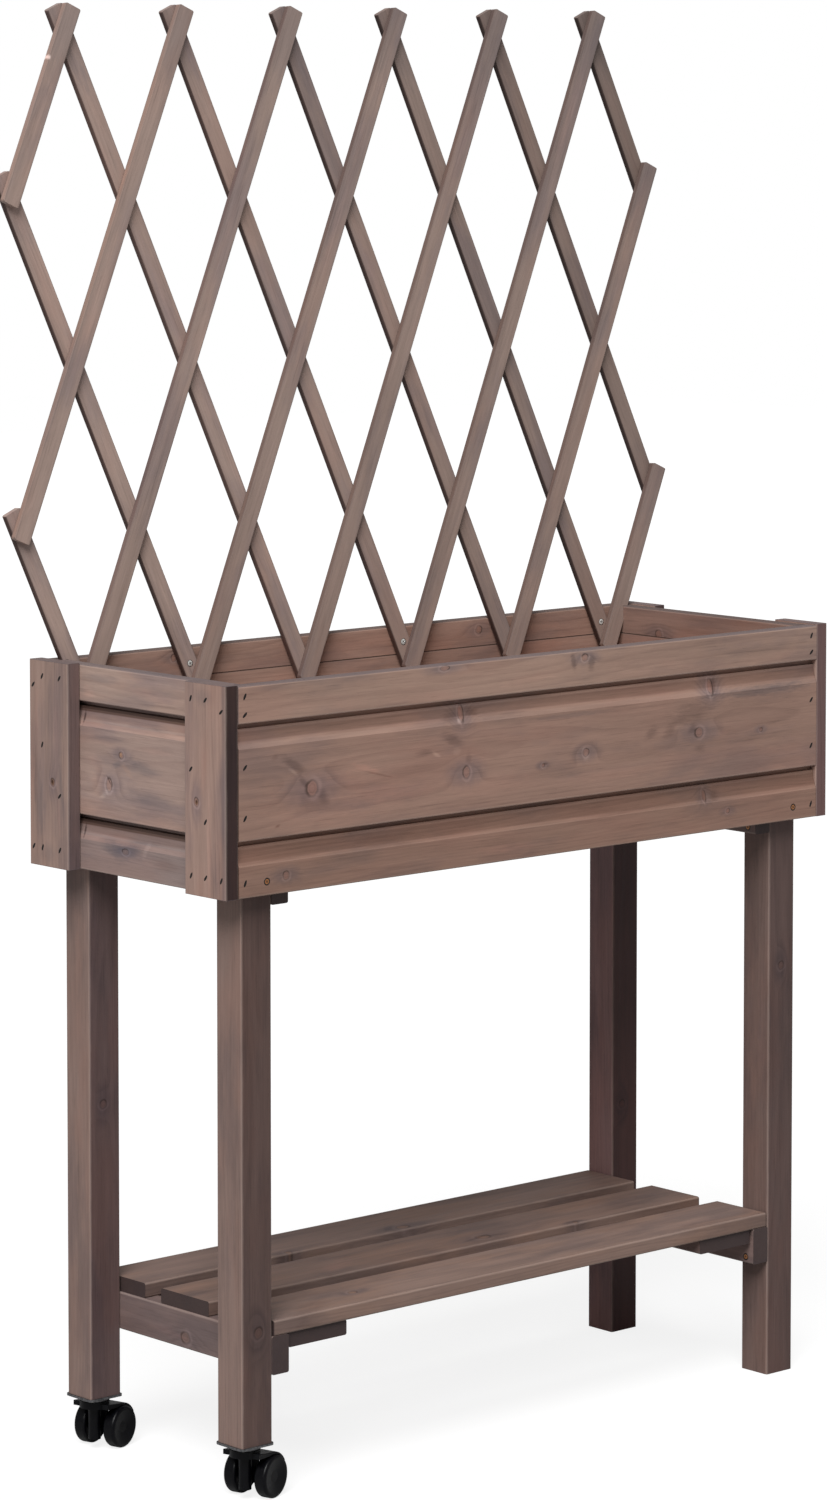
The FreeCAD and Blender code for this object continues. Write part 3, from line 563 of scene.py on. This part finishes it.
def painted_hollow_light(row, face):
    """Bands of a wall board: the hollow at its upper edge, under the next board's lip, and its own lip below."""
    # Painted shade and a painted highlight in the hollow, painted shade and a painted highlight on the lip, and on
    # the left wall painted shadow under the lip.
    dark, bright = HOLLOW_SHADE_AND_HIGHLIGHT[face]
    bands = []
    if row != "top":
        lip = LIP_HEIGHTS[row]
        shaded = 14.5 if row == "middle" or face != "front" else 18.5
        bands += [(lip - shaded, lip - 3.5, 1.3, dark), (lip - HOLLOW_HEIGHT, lip - shaded - 3, 0.7, bright)]
        if face == "left":
            bands += [(lip - 6, lip + 1, 0.8, GROOVE_SHADES[0]), (lip - 3.2, lip + 1, 0.5, GROOVE_SHADES[1])]
    if row != "bottom":
        lip = LIP_HEIGHTS["bottom" if row == "middle" else "middle"]
        bands += [(lip, lip + 2.8, 0.5, LIP_UNDERSIDE_SHADE), (lip + 2.8, lip + 6.5, 0.7, LIP_PAINTED_HIGHLIGHT)]
    return bands


JOINT_LINE = linear(60, 44, 38)
# Painted light: the inner back wall lightened against the shade inside the box.
BACK_PAINTED_LIGHT = (1.2, 1.19, 1.2)
RIGHT_TONE = (0.8, 0.78, 0.8)

for number, row in enumerate(("bottom", "middle", "top")):
    rim = {"top": 0.75, "end_colour": PALE_EDGE} if row == "top" else {"top": 0.9, "end_colour": JOINT_LINE}
    dress_timber("front_board_" + row, X, Z, "front", 3 + number, FRONT_KNOTS[row], FRONT_MARKS[row],
                 painted_hollow_light(row, "front"), pith=PITHS[row], tone=FRONT_TONES[row], clouding=0.4, **rim)
    inner_rim = {"top": 0.8, "end_colour": INNER_EDGE} if row == "top" else rim
    dress_timber("back_board_" + row, X, Z, "inner", 13 + number, INNER_KNOTS[row], INNER_MARKS[row],
                 painted_hollow_light(row, "end"), pith=PITHS[row], tone=BACK_PAINTED_LIGHT, **inner_rim)
    dress_timber("left_board_" + row, Y, Z, "end", 23 + number, LEFT_KNOTS[row], LEFT_MARKS[row],
                 painted_hollow_light(row, "left"), pith=PITHS[row], tone=LEFT_TONES[row], clouding=0.6, **rim)
    dress_timber("right_board_" + row, Y, Z, "inner", 33 + number, RIGHT_KNOTS[row], (),
                 painted_hollow_light(row, "end"), pith=PITHS[row], tone=RIGHT_TONE, **inner_rim)

# Corner covers. Knots and marks are at (z, y).
COVER_KNOTS = {"front_left": [(814, -138, 4.2, 1.2, 0.0)], "back_left": [(808, 129, 4.2, 1.1, 0.0)],
               "front_right": [(850, -150, 5.0, 1.2, 0.0)], "back_right": [(880, 140, 5.0, 1.2, 0.0)]}
COVER_MARKS = {"front_left": [(814, -138, 4.4, 4.0, 0.0, "amber", 0.95),
                              (815, -138, 2.4, 2.2, 0.0, "dark", 0.9),
                              (760, -160, 60, 5, 0.0, "pink", 0.5), (860, -150, 50, 6, 0.0, "pink", 0.4),
                              (720, -170, 25, 9, 0.0, "blue", 0.4), (935, -150, 12, 20, 0.0, "blue", 0.4)],
               "back_left": [(808, 129, 5.0, 4.2, 0.0, "amber", 0.95), (809, 130, 2.8, 2.4, 0.0, "dark", 0.95),
                             (790, 155, 60, 11, 0.1, "blue", 0.55), (800, 112, 40, 4, 0.1, "blue", 0.5),
                             (770, 118, 26, 4, 0.1, "pink", 0.5), (870, 122, 50, 7, 0.0, "pink", 0.4),
                             (722, 140, 16, 16, 0.0, "blue", 0.45), (880, 160, 50, 5, 0.0, "pink", 0.35)],
               "front_right": [(760, -150, 60, 8, 0.0, "blue", 0.5)],
               "back_right": [(860, 140, 60, 8, 0.0, "blue", 0.5)]}
COVER_SIDES = {"front_left": linear(122, 108, 109), "back_left": linear(192, 194, 206),
               "front_right": linear(180, 172, 184), "back_right": linear(150, 140, 146)}
# Painted shade: a darker band on the front-left cover, from y -192 to -183 mm.
COVER_SHADE_BANDS = {"front_left": [(-192, -183, 2.5, (0.72, 0.76, 0.82))]}
COVER_TONE = (1.1, 1.01, 0.97)
COVER_TONES = {"back_left": (1.0, 0.94, 0.91)}
for number, (corner, knots) in enumerate(COVER_KNOTS.items()):
    dress_timber("cover_" + corner, Z, Y, "end", 43 + number, knots, COVER_MARKS[corner],
                 COVER_SHADE_BANDS.get(corner, ()), pith=(0.03, 0.05), side=1.0, end=0.7, ring=4.2,
                 side_colour=COVER_SIDES[corner], end_colour=PALE_EDGE,
                 tone=COVER_TONES.get(corner, COVER_TONE))

# Stand. Knots and marks are at (z, x) on the legs, (y, z) on the rails and (x, y) on the slats.
LEG_KNOTS = {"front_left": [(198, -429, 6.5, 1.0, 0.0)], "back_left": [(420, -433, 5.0, 1.0, 0.0)],
             "front_right": [(520, 430, 5.0, 1.0, 0.0)], "back_right": [(300, 425, 5.0, 1.0, 0.0)]}
# Painted shade: the right-hand legs darkened.
LEG_PAINTED_SHADE = {"front_left": (1.0, 1.0, 1.0), "back_left": (1.0, 1.0, 1.0), "front_right": (0.7, 0.68, 0.69),
             "back_right": (0.96, 0.82, 0.92)}
# The legs' front faces are darker as stained; the differences between the legs here are painted light and shade.
LEG_FRONTS = {"front_left": linear(186, 180, 182), "back_left": linear(190, 186, 196),
              "front_right": linear(214, 211, 215), "back_right": linear(150, 136, 134)}
for number, (corner, knots) in enumerate(LEG_KNOTS.items()):
    dress_timber("leg_" + corner, Z, X, "leg", 53 + number, knots, pith=(0.012, 0.03), end=0.5, broad=1.0,
                 side_colour=LEG_FRONTS[corner], tone=LEG_PAINTED_SHADE[corner])
SAWN_DARK = linear(58, 47, 47)
RAIL_KNOTS = {"left": [(-13, 158, 7.0, 1.1, 0.0)]}
RAIL_MARKS = {"left": [(-6, 158, 12, 3, 0.0, "pink", 0.7), (22, 160, 30, 8, 0.1, "pink", 0.5)]}
for number, side in enumerate(("left", "right")):
    dress_timber("floor_rail_" + side, Y, Z, "rail", 61 + number, end=0.85, end_colour=SAWN_DARK)
    dress_timber("shelf_rail_" + side, Y, Z, "rail", 63 + number, RAIL_KNOTS.get(side, ()),
                 RAIL_MARKS.get(side, ()), end=0.85, end_colour=SAWN_DARK, tone=(1.16, 1.15, 1.16))
    dress_timber("shelf_batten_" + side, Y, X, "rail", 65 + number, end=0.85, end_colour=SAWN_DARK,
                 tone=(0.8, 0.78, 0.8))
SLAT_KNOTS = {"front": [(-250, -130, 5.0, 1.2, 0.0)],
              "middle": [(51, -29, 8.0, 1.3, 0.0), (190, -48, 4.0, 1.0, 0.0)],
              "back": [(12, 76, 7.0, 1.4, 0.0), (-180, 70, 5.0, 1.0, 0.0)]}
# Painted shade: the slats darkened as they lie under the box.
SLAT_PAINTED_SHADE = {"front": (0.84, 0.80, 0.80), "middle": (0.68, 0.63, 0.63), "back": (0.72, 0.69, 0.71)}
# The first front mark is the painted shadow of the front-left leg across the slat; the first middle mark is a
# painted pool of light.
SLAT_MARKS = {"front": [(-330, -150, 60, 18, 0.5, "brown", 0.45), (300, -150, 60, 14, 0.0, "pink", 0.3)],
              "middle": [(-180, -20, 40, 16, 0.5, "pink", 0.8), (40, -28, 34, 4, 0.25, "dark", 0.45),
                         (62, -28, 30, 4, -0.25, "dark", 0.45), (190, -44, 16, 5, 0.0, "dark", 0.5)],
              "back": [(12, 62, 26, 5, 0.0, "dark", 0.55), (-4, 84, 20, 8, 0.5, "blue", 0.6),
                       (-180, 58, 9, 6, 0.0, "orange", 0.6), (-190, 66, 18, 5, 0.0, "dark", 0.4),
                       (-330, 60, 70, 20, 0.0, "blue", 0.4)]}
for number, (row, knots) in enumerate(SLAT_KNOTS.items()):
    dress_timber("shelf_slat_" + row, X, Y, "shelf", 71 + number, knots, SLAT_MARKS[row],
                 pith=(0.02 * number - 0.02, -0.06), contrast=0.5, clouding=0.5, end=0.9, end_colour=SAWN_DARK,
                 tone=SLAT_PAINTED_SHADE[row])
dress_timber("floor_boards", X, Y, "inner", 77)


# ---- trellis ----

def crossing(column, row):
    """x and height above the wall's top edge of a lattice crossing."""
    return (column - LAST_COLUMN / 2) * COLUMN_STEP, (LAST_ROW - row) * ROW_STEP - LOWEST_CROSSING


TRELLIS_UP = Vector((0, sin(LEAN), cos(LEAN)))
TRELLIS_FRONT = Vector((0, -cos(LEAN), sin(LEAN)))
EDGE_ROUND = 2.5 * MM
TRELLIS_FOOT = Vector((0, (BOX_BACK - WALL_T) * MM + EDGE_ROUND * (1 - cos(LEAN)),
                       BOX_TOP - EDGE_ROUND * (1 - sin(LEAN)))) + TRELLIS_FRONT * 0.1 * MM


def in_trellis(x, depth, height):
    return TRELLIS_FOOT + X * x + TRELLIS_FRONT * depth + TRELLIS_UP * height


def lattice():
    """Ends of the front laths, which lean right, and of the back laths, as (column, row) low and high."""
    def follow(column, row, step):
        while row + 1 <= LAST_ROW and -1 <= column + step <= LAST_COLUMN + 1:
            column += step
            row += 1
        return column, row
    front = [(follow(c, 0, -1), (c, 0)) for c in range(0, LAST_COLUMN + 1, 2)]
    back = [(follow(c, 0, 1), (c, 0)) for c in range(0, LAST_COLUMN + 1, 2)]
    for row in range(1, LAST_ROW, 2):
        front.append((follow(LAST_COLUMN + 1, row, -1), (LAST_COLUMN + 1, row)))
        back.append((follow(-1, row, 1), (-1, row)))
    return front, back


# Painted shade on the narrow faces of the first, second, third and later laths.
LATH_SIDE_SHADES = {"front": (linear(250, 240, 235), linear(235, 225, 220), linear(190, 180, 180),
                        linear(185, 176, 174)),
              "back": (linear(150, 136, 134), linear(130, 115, 113), linear(120, 104, 102),
                       linear(116, 100, 98))}


def lath_marks(layer, number, top):
    """Marks in the lath's own directions, greyer at its upper end, which is top millimetres from the middle."""
    marks = [(top, 0, 90, 40, 0.0, "blue", 0.45), (top - 420 + 60 * number, 2, 120, 7, 0.0, "pink", 0.3)]
    if layer == "front" and number == 0:
        marks += [(top - 44, 11, 4, 2.2, 0.1, "white", 0.9)]
    return marks


# Painted light on the laths, falling off to the right: brightness at column 0, and the loss per column to the
# right.
LATH_LIGHT_FALLOFF = {"front": (1.26, 0.022), "back": (1.28, 0.06)}
LATH_EDGE = linear(104, 90, 85)
BEYOND_END = 200 * MM                # keeps the sawn end's colour off a lath's slanting ends


def dress_lath(layer, number, low_end, high_end):
    """The wood of one lath, with its grain from its lowest to its highest crossing."""
    depth = LATH_T * (1.5 if layer == "front" else 0.5)
    (x0, h0), (x1, h1) = crossing(*low_end), crossing(*high_end)
    start, finish = in_trellis(x0, depth, h0), in_trellis(x1, depth, h1)
    along = (finish - start).normalized()
    reach = (finish - start).length / 2
    half = (reach + BEYOND_END, LATH_W / 2, LATH_T / 2)
    painted_lath_light = LATH_LIGHT_FALLOFF[layer][0] - LATH_LIGHT_FALLOFF[layer][1] * high_end[0]
    seed = 81 + number + (8 if layer == "front" else 0)
    wood = timber("wood_lath_%s_%d" % (layer, number + 1), (start + finish) / 2, along,
                  TRELLIS_FRONT.cross(along), half, "trellis", seed, pith=(0.01 * (number % 3 - 1), -0.03),
                  ring=2.8, marks=lath_marks(layer, number, reach / MM), contrast=0.3, clouding=0.5,
                  worn=0.35, edge_colour=LATH_EDGE, side=1.0, side_colour=LATH_SIDE_SHADES[layer][min(number, 3)],
                  tone=(painted_lath_light, painted_lath_light * 0.96, painted_lath_light * 0.97))
    dress("trellis_%s_lath_%d" % (layer, number + 1), wood)


for layer, laths in zip(("front", "back"), lattice()):
    for number, ends in enumerate(laths):
        dress_lath(layer, number, *ends)


# ---- metal and plastic ----

def build_scuff_group():
    """Small scratches and dull patches: noise on the piece's own coordinates."""
    tree, at, leave = new_group("scuffs", [("Place", "Vector", (0, 0, 0)), ("Scale", "Float", 300.0)],
                                [("Dull", "Float"), ("Grain", "Float")])
    plug(tree, leave.inputs["Dull"], noise(tree, at["Place"], at["Scale"], 4.0, 0.6))
    plug(tree, leave.inputs["Grain"], noise(tree, scaled(tree, at["Place"], 9.0, 9.0, 9.0), at["Scale"], 1.0))
    return tree


SCUFFS = build_scuff_group()


def hard_material(name, dark, light, rough_low, rough_high, metallic=0.0, gloss=0.5):
    """Metal or plastic: the colour moves from dark to light, and the gloss with it, by fine noise."""
    mat, tree = new_material(name)
    coords = tree.nodes.new("ShaderNodeTexCoord")
    scuff = use(tree, SCUFFS, {"Place": coords.outputs["Object"], "Scale": 300.0})
    colour = blend(tree, step(tree, scuff.outputs["Dull"], 0.3, 0.7), dark, light)
    rough = step(tree, scuff.outputs["Dull"], 0.3, 0.7, rough_low, rough_high)
    relief = add(tree, "ShaderNodeBump", {"Height": scuff.outputs["Grain"], "Strength": 0.1, "Distance": 0.0002})
    shader = add(tree, "ShaderNodeBsdfPrincipled", {"Base Color": colour, "Roughness": rough, "Metallic": metallic,
                                                    "Specular IOR Level": gloss, "Normal": relief.outputs[0]})
    set_surface(tree, shader)
    return mat


black_plastic = hard_material("black_nylon", linear(3, 3, 6), linear(6, 6, 10), 0.3, 0.42, gloss=0.18)
plate_steel = hard_material("plate_steel", linear(96, 96, 98), linear(140, 140, 142), 0.4, 0.55, metallic=1.0)
zinc = hard_material("zinc", linear(200, 198, 190), linear(235, 234, 228), 0.25, 0.4, metallic=1.0)
dull_screw = hard_material("dull_screw", linear(90, 66, 44), linear(150, 116, 84), 0.35, 0.5, metallic=1.0)

for end in ("front", "back"):
    dress("caster_plate_" + end, plate_steel)
    dress("caster_housing_" + end, black_plastic)
    for wheel in ("outer", "inner"):
        dress("caster_wheel_%s_%s" % (end, wheel), black_plastic)
dress("trellis_brads", zinc)
dress("shelf_screws", dull_screw)
dress("caster_screws", zinc)


# ---- nails and screws ----

def loft(name, rings, dark, mat):
    """Closed solids, each a stack of rings: from the middle of the head outwards and then down the shank.

    rings is (items, rings, points round, 3); dark is (rings,) or (rings, points), 1 where the metal is darkened:
    dark iron on the nails, painted shade on the screws. Each quad joins ring i to ring i + 1, and the first and
    last rings are closed by one flat face.
    """
    items, count, around, _ = rings.shape
    index = np.arange(items * count * around).reshape(items, count, around)
    onward = np.roll(index, -1, axis=2)
    quads = np.stack([index[:, :-1], index[:, 1:], onward[:, 1:], onward[:, :-1]], axis=-1).reshape(-1, 4)
    faces = quads.tolist() + index[:, 0].tolist() + index[:, -1, ::-1].tolist()
    mesh = bpy.data.meshes.new(name)
    mesh.from_pydata(rings.reshape(-1, 3).tolist(), [], faces)
    layer = mesh.attributes.new("grime_and_shade", "FLOAT", "POINT")
    spread = np.broadcast_to(dark.reshape(1, count, -1), (items, count, around))
    layer.data.foreach_set("value", np.ascontiguousarray(spread, dtype=np.float32).ravel())
    mesh.polygons.foreach_set("use_smooth", [True] * len(mesh.polygons))
    mesh.materials.append(mat)
    return new_object(name, mesh)


def head_axes(directions, turns):
    """For each outward direction, two directions across it, turned by an angle: u, v and n, each (items, 3)."""
    n = np.array(directions, dtype=float)
    helper = np.where(np.abs(n[:, 2:]) > 0.9, [[1.0, 0, 0]], [[0, 0, 1.0]])
    u = np.cross(helper, n)
    u /= np.linalg.norm(u, axis=1, keepdims=True)
    v = np.cross(n, u)
    c, w = np.cos(turns)[:, None], np.sin(turns)[:, None]
    return u * c + v * w, v * c - u * w, n


def stack_rings(places, directions, turns, along, across, height):
    """Points place + u along cos(t) + v across sin(t) + n height; along, across, height are (rings, points)."""
    u, v, n = (axis[:, None, None, :] for axis in head_axes(directions, np.array(turns)))
    t = np.linspace(0, 2 * pi, along.shape[1], endpoint=False)
    a, b, h = (grid[None, ..., None] for grid in (along * np.cos(t), across * np.sin(t), height))
    return np.array(places, dtype=float)[:, None, None, :] * MM + (u * a + v * b + n * h) * MM


def fastener_material(name, clean, grime_and_shade_colour, rough, metallic):
    """Metal in the colour clean, blackened in fine spots, and turned to the second colour where the vertex
    attribute is 1: dark iron on the nails, painted shade in the screws' recesses and round their heads.
    """
    mat, tree = new_material(name)
    coords = tree.nodes.new("ShaderNodeTexCoord")
    scuff = use(tree, SCUFFS, {"Place": coords.outputs["Object"], "Scale": 700.0})
    grime_and_shade = add(tree, "ShaderNodeAttribute", attribute_name="grime_and_shade").outputs["Fac"]
    worn = step(tree, scuff.outputs["Dull"], 0.35, 0.65, 0.75, 1.0)
    metal = blend(tree, worn, (0, 0, 0, 1), clean)
    colour = blend(tree, grime_and_shade, metal, grime_and_shade_colour)
    clear = minus(tree, 1.0, grime_and_shade)
    shader = add(tree, "ShaderNodeBsdfPrincipled", {
        "Base Color": colour, "Roughness": rough, "Metallic": times(tree, clear, metallic)})
    set_surface(tree, shader)
    return mat


def nail_places():
    """Places in millimetres and outward directions of the nails in the covers and in the long walls' ends."""
    low, lower, upper, high, second = 729.0, 793.0, 851.0, 932.0, 916.0
    covers, ends = [], []
    for side in (-1, 1):
        for face, inward, (first, last) in ((BOX_FRONT, 1, (36, 62)), (BOX_BACK, -1, (58, 25))):
            spots = [(first, low), (last, low), (first, high), (last, high), (first, lower), (last, upper),
                     (8, low), (8, high - 11)]
            covers += [((side * BOX_HALF, face + inward * y, z), (side, 0, 0)) for y, z in spots]
            ends += [((side * WALL_NAIL_X, face, z), (0, -inward, 0))
                     for z in (low - 5, lower + 5, upper + 5, high + 5, second)]
    return covers, ends


NAIL_AROUND = 20
NAIL_TURNS = (0.5, 0.9, 0.2, 1.2, 0.7, 0.35, 1.05, 0.1, 0.8, 1.35)


def nail_rings(spots, length, shift):
    """Oblong nail heads driven askew, 4.5 by 1.8 mm from the middle to the rim, on shanks of 1.4 mm radius."""
    turns = [NAIL_TURNS[(i + shift) % len(NAIL_TURNS)] * 0.4 + 0.7 for i in range(len(spots))]
    one = np.ones((1, NAIL_AROUND))
    along = np.array([1.4, 3.0, 4.1, 4.5, 1.4, 1.4, 0.5])[:, None] * one
    across = np.array([0.45, 1.0, 1.55, 1.8, 1.4, 1.4, 0.5])[:, None] * one
    height = np.array([0.03, 0.05, 0.1, -0.4, -2.5, 2.0 - length, -length])[:, None] * one
    places, directions = zip(*spots)
    return stack_rings(places, directions, turns, along, across, height)


cover_nails, end_nails = nail_places()
nail_shape = np.concatenate([nail_rings(cover_nails, 36.0, 0), nail_rings(end_nails, 40.0, 3)])
nails = loft("nails", nail_shape, np.array([1, 1, 0.75, 0.9, 1, 1, 1.0]),
             fastener_material("nail_iron", linear(80, 60, 50), linear(10, 6, 6), 0.7, 0.2))
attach(nails, "planter")
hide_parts("box_nails")

SCREW_AROUND = 48


def screw_rings(spots, head, rise, shank, length, turn, sunk=0.7):
    """Screw with a cross recess in a low domed head, in a dark countersink.

    Over the head the height is rise (1 - rho^2) + 0.06, less the recess, which has arms where |u| or |v| is under
    0.5 mm and ends near 0.6 of the radius. sunk is the width of the dark rim. The dark of the rim and of the cross
    recess is painted shade.
    """
    t = np.linspace(0, 2 * pi, SCREW_AROUND, endpoint=False)[None, :]
    rho = np.array([0.06, 0.16, 0.26, 0.36, 0.46, 0.56, 0.66, 0.82, 0.97])[:, None]
    x, y = np.abs(rho * head * np.cos(t)), np.abs(rho * head * np.sin(t))
    arm = np.exp(-(np.minimum(x, y) / 0.55) ** 4) * np.clip((0.62 - rho) / 0.08, 0, 1)
    top = rise * (1 - rho ** 2) + 0.06 - arm * rise * 0.9 * (1 - rho ** 2)
    flat = np.ones((1, SCREW_AROUND))
    tail_r = np.array([head, head + sunk, head + sunk, shank, shank, shank * 0.2])[:, None] * flat
    tail_h = np.array([0.04, 0.03, -0.6, -head, 2 * shank - length, -length])[:, None] * flat
    radius = np.concatenate([rho * head * flat, tail_r])
    height = np.concatenate([top, tail_h])
    dark = np.concatenate([arm * 0.95, np.array([1, 1, 1, 0.3, 0.3, 0.3])[:, None] * flat])
    places, directions = zip(*spots)
    turns = [turn + 0.4 * i for i in range(len(spots))]
    rings = stack_rings(places, directions, turns, radius, radius, height)
    return rings, dark


def frame_screw_places():
    """Places in millimetres and outward directions of the screws in the long walls and in the cross rails."""
    walls, rails = [], []
    for side in (-1, 1):
        for face, outward in ((BOX_FRONT, -1), (BOX_BACK, 1)):
            walls.append(((side * LEG_X, face, WALL_SCREW_Z), (0, outward, 0)))
            leg = face - outward * LEG_MIDDLE
            for base, height in RAIL_HEIGHTS:
                middle, reach = base + height / 2, height / 2 - RAIL_SCREW_EDGE
                rails += [((side * RAIL_X, leg + shift * RAIL_SCREW_Y, middle + shift * reach), (-side, 0, 0))
                          for shift in (-1, 1)]
    return walls, rails


wall_screws, rail_screws = frame_screw_places()
wall_rings, wall_dark = screw_rings(wall_screws, 3.0, 0.07, 2.2, length=60.0, turn=0.3, sunk=1.5)
rail_rings, _ = screw_rings(rail_screws, 3.0, 0.07, 2.2, length=50.0, turn=0.8, sunk=1.5)
screws = loft("wall_and_rail_screws", np.concatenate([wall_rings, rail_rings]), wall_dark,
              fastener_material("yellow_zinc", linear(196, 132, 84), linear(20, 13, 11), 0.4, 0.6))
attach(screws, "planter")
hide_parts("frame_screws")

slant = (COLUMN_STEP / LATH_PITCH, ROW_STEP / LATH_PITCH)
foot_screws = []
for column in (2, 6, 10):
    x, h = crossing(column, LAST_ROW)
    place = in_trellis(x - slant[0] * LATH_SCREW_UP, LATH_T, h + slant[1] * LATH_SCREW_UP)
    foot_screws.append((place / MM, TRELLIS_FRONT))
foot_rings, foot_dark = screw_rings(foot_screws, 3.6, 0.8, 1.8, length=22.0, turn=0.5)
trellis_screws = loft("trellis_screws_crossed", foot_rings, foot_dark,
                      fastener_material("bright_zinc", linear(245, 245, 240), linear(48, 42, 40), 0.3, 0.35))
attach(trellis_screws, "planter")
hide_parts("trellis_screws")


# ---- stage ----

FLOOR_HALF = 14.0
FLOOR_SEEN = (0.22, 0.22, 0.22, 1)
FLOOR_BOUNCE = (0.42, 0.42, 0.42, 1)
FLOOR_GLOW = 0.83
SKY_LIGHT = 0.29
SKY_SEEN = 1.0


def floor_material():
    """Pale floor: diffuse, with white added where the camera sees it, and paler for the light it throws back."""
    mat, tree = new_material("pale_floor")
    seen = tree.nodes.new("ShaderNodeLightPath").outputs["Is Camera Ray"]
    diffuse = add(tree, "ShaderNodeBsdfDiffuse", {"Color": blend(tree, seen, FLOOR_BOUNCE, FLOOR_SEEN)})
    strength = times(tree, seen, FLOOR_GLOW)
    glow = add(tree, "ShaderNodeEmission", {"Color": (1, 1, 1, 1), "Strength": strength})
    both = add(tree, "ShaderNodeAddShader", {0: diffuse.outputs[0], 1: glow.outputs[0]})
    set_surface(tree, both)
    return mat


floor_mesh = bpy.data.meshes.new("floor")
floor_corners = [(x * FLOOR_HALF, y * FLOOR_HALF, 0) for x, y in ((-1, -1), (1, -1), (1, 1), (-1, 1))]
floor_mesh.from_pydata(floor_corners, [], [(0, 1, 2, 3)])
floor_mesh.materials.append(floor_material())
new_object("floor", floor_mesh)

world = bpy.data.worlds.new("studio")
bpy.context.scene.world = world
world.use_nodes = True
sky = world.node_tree
sky.nodes.clear()
sky_seen = sky.nodes.new("ShaderNodeLightPath").outputs["Is Camera Ray"]
sky_level = plus(sky, times(sky, sky_seen, SKY_SEEN - SKY_LIGHT), SKY_LIGHT)
background = add(sky, "ShaderNodeBackground", {"Color": (1, 1, 1, 1), "Strength": sky_level})
sky.links.new(background.outputs[0], sky.nodes.new("ShaderNodeOutputWorld").inputs[0])


def lamp(name, direction, strength, angle):
    """A sun lamp with soft shadows; direction is where its light comes from."""
    data = bpy.data.lights.new(name, "SUN")
    data.energy = strength
    data.angle = angle
    piece = new_object(name, data)
    piece.rotation_mode = "QUATERNION"
    piece.rotation_quaternion = Vector(direction).to_track_quat("Z", "Y")


lamp("key_light", (-0.52, -0.40, 0.75), 3.25, radians(34))

# ---- camera ----
PICTURE_HEIGHT = 1500.0       # pixels
SENSOR = 36.0                 # millimetres
CAMERA_F = 4843.4             # focal length in pixels of the picture
CAMERA_YAW = 0.7287
CAMERA_PITCH = 0.0679
CAMERA_ROW = 420.0            # row of the picture that the camera's axis meets
camera_data = bpy.data.cameras.new("camera")
camera_data.sensor_width = SENSOR
camera_data.lens = CAMERA_F * SENSOR / PICTURE_HEIGHT
camera_data.shift_y = CAMERA_ROW / PICTURE_HEIGHT - 0.5
camera_data.clip_end = 60.0
camera = new_object("camera", camera_data)
camera.location = (-3.93801, -4.36967, 1.61945)
look = Vector((sin(CAMERA_YAW) * cos(CAMERA_PITCH), cos(CAMERA_YAW) * cos(CAMERA_PITCH), -sin(CAMERA_PITCH)))
camera.rotation_mode = "QUATERNION"
camera.rotation_quaternion = look.to_track_quat("-Z", "Y")
bpy.context.scene.camera = camera
bpy.context.scene.view_settings.view_transform = "Standard"
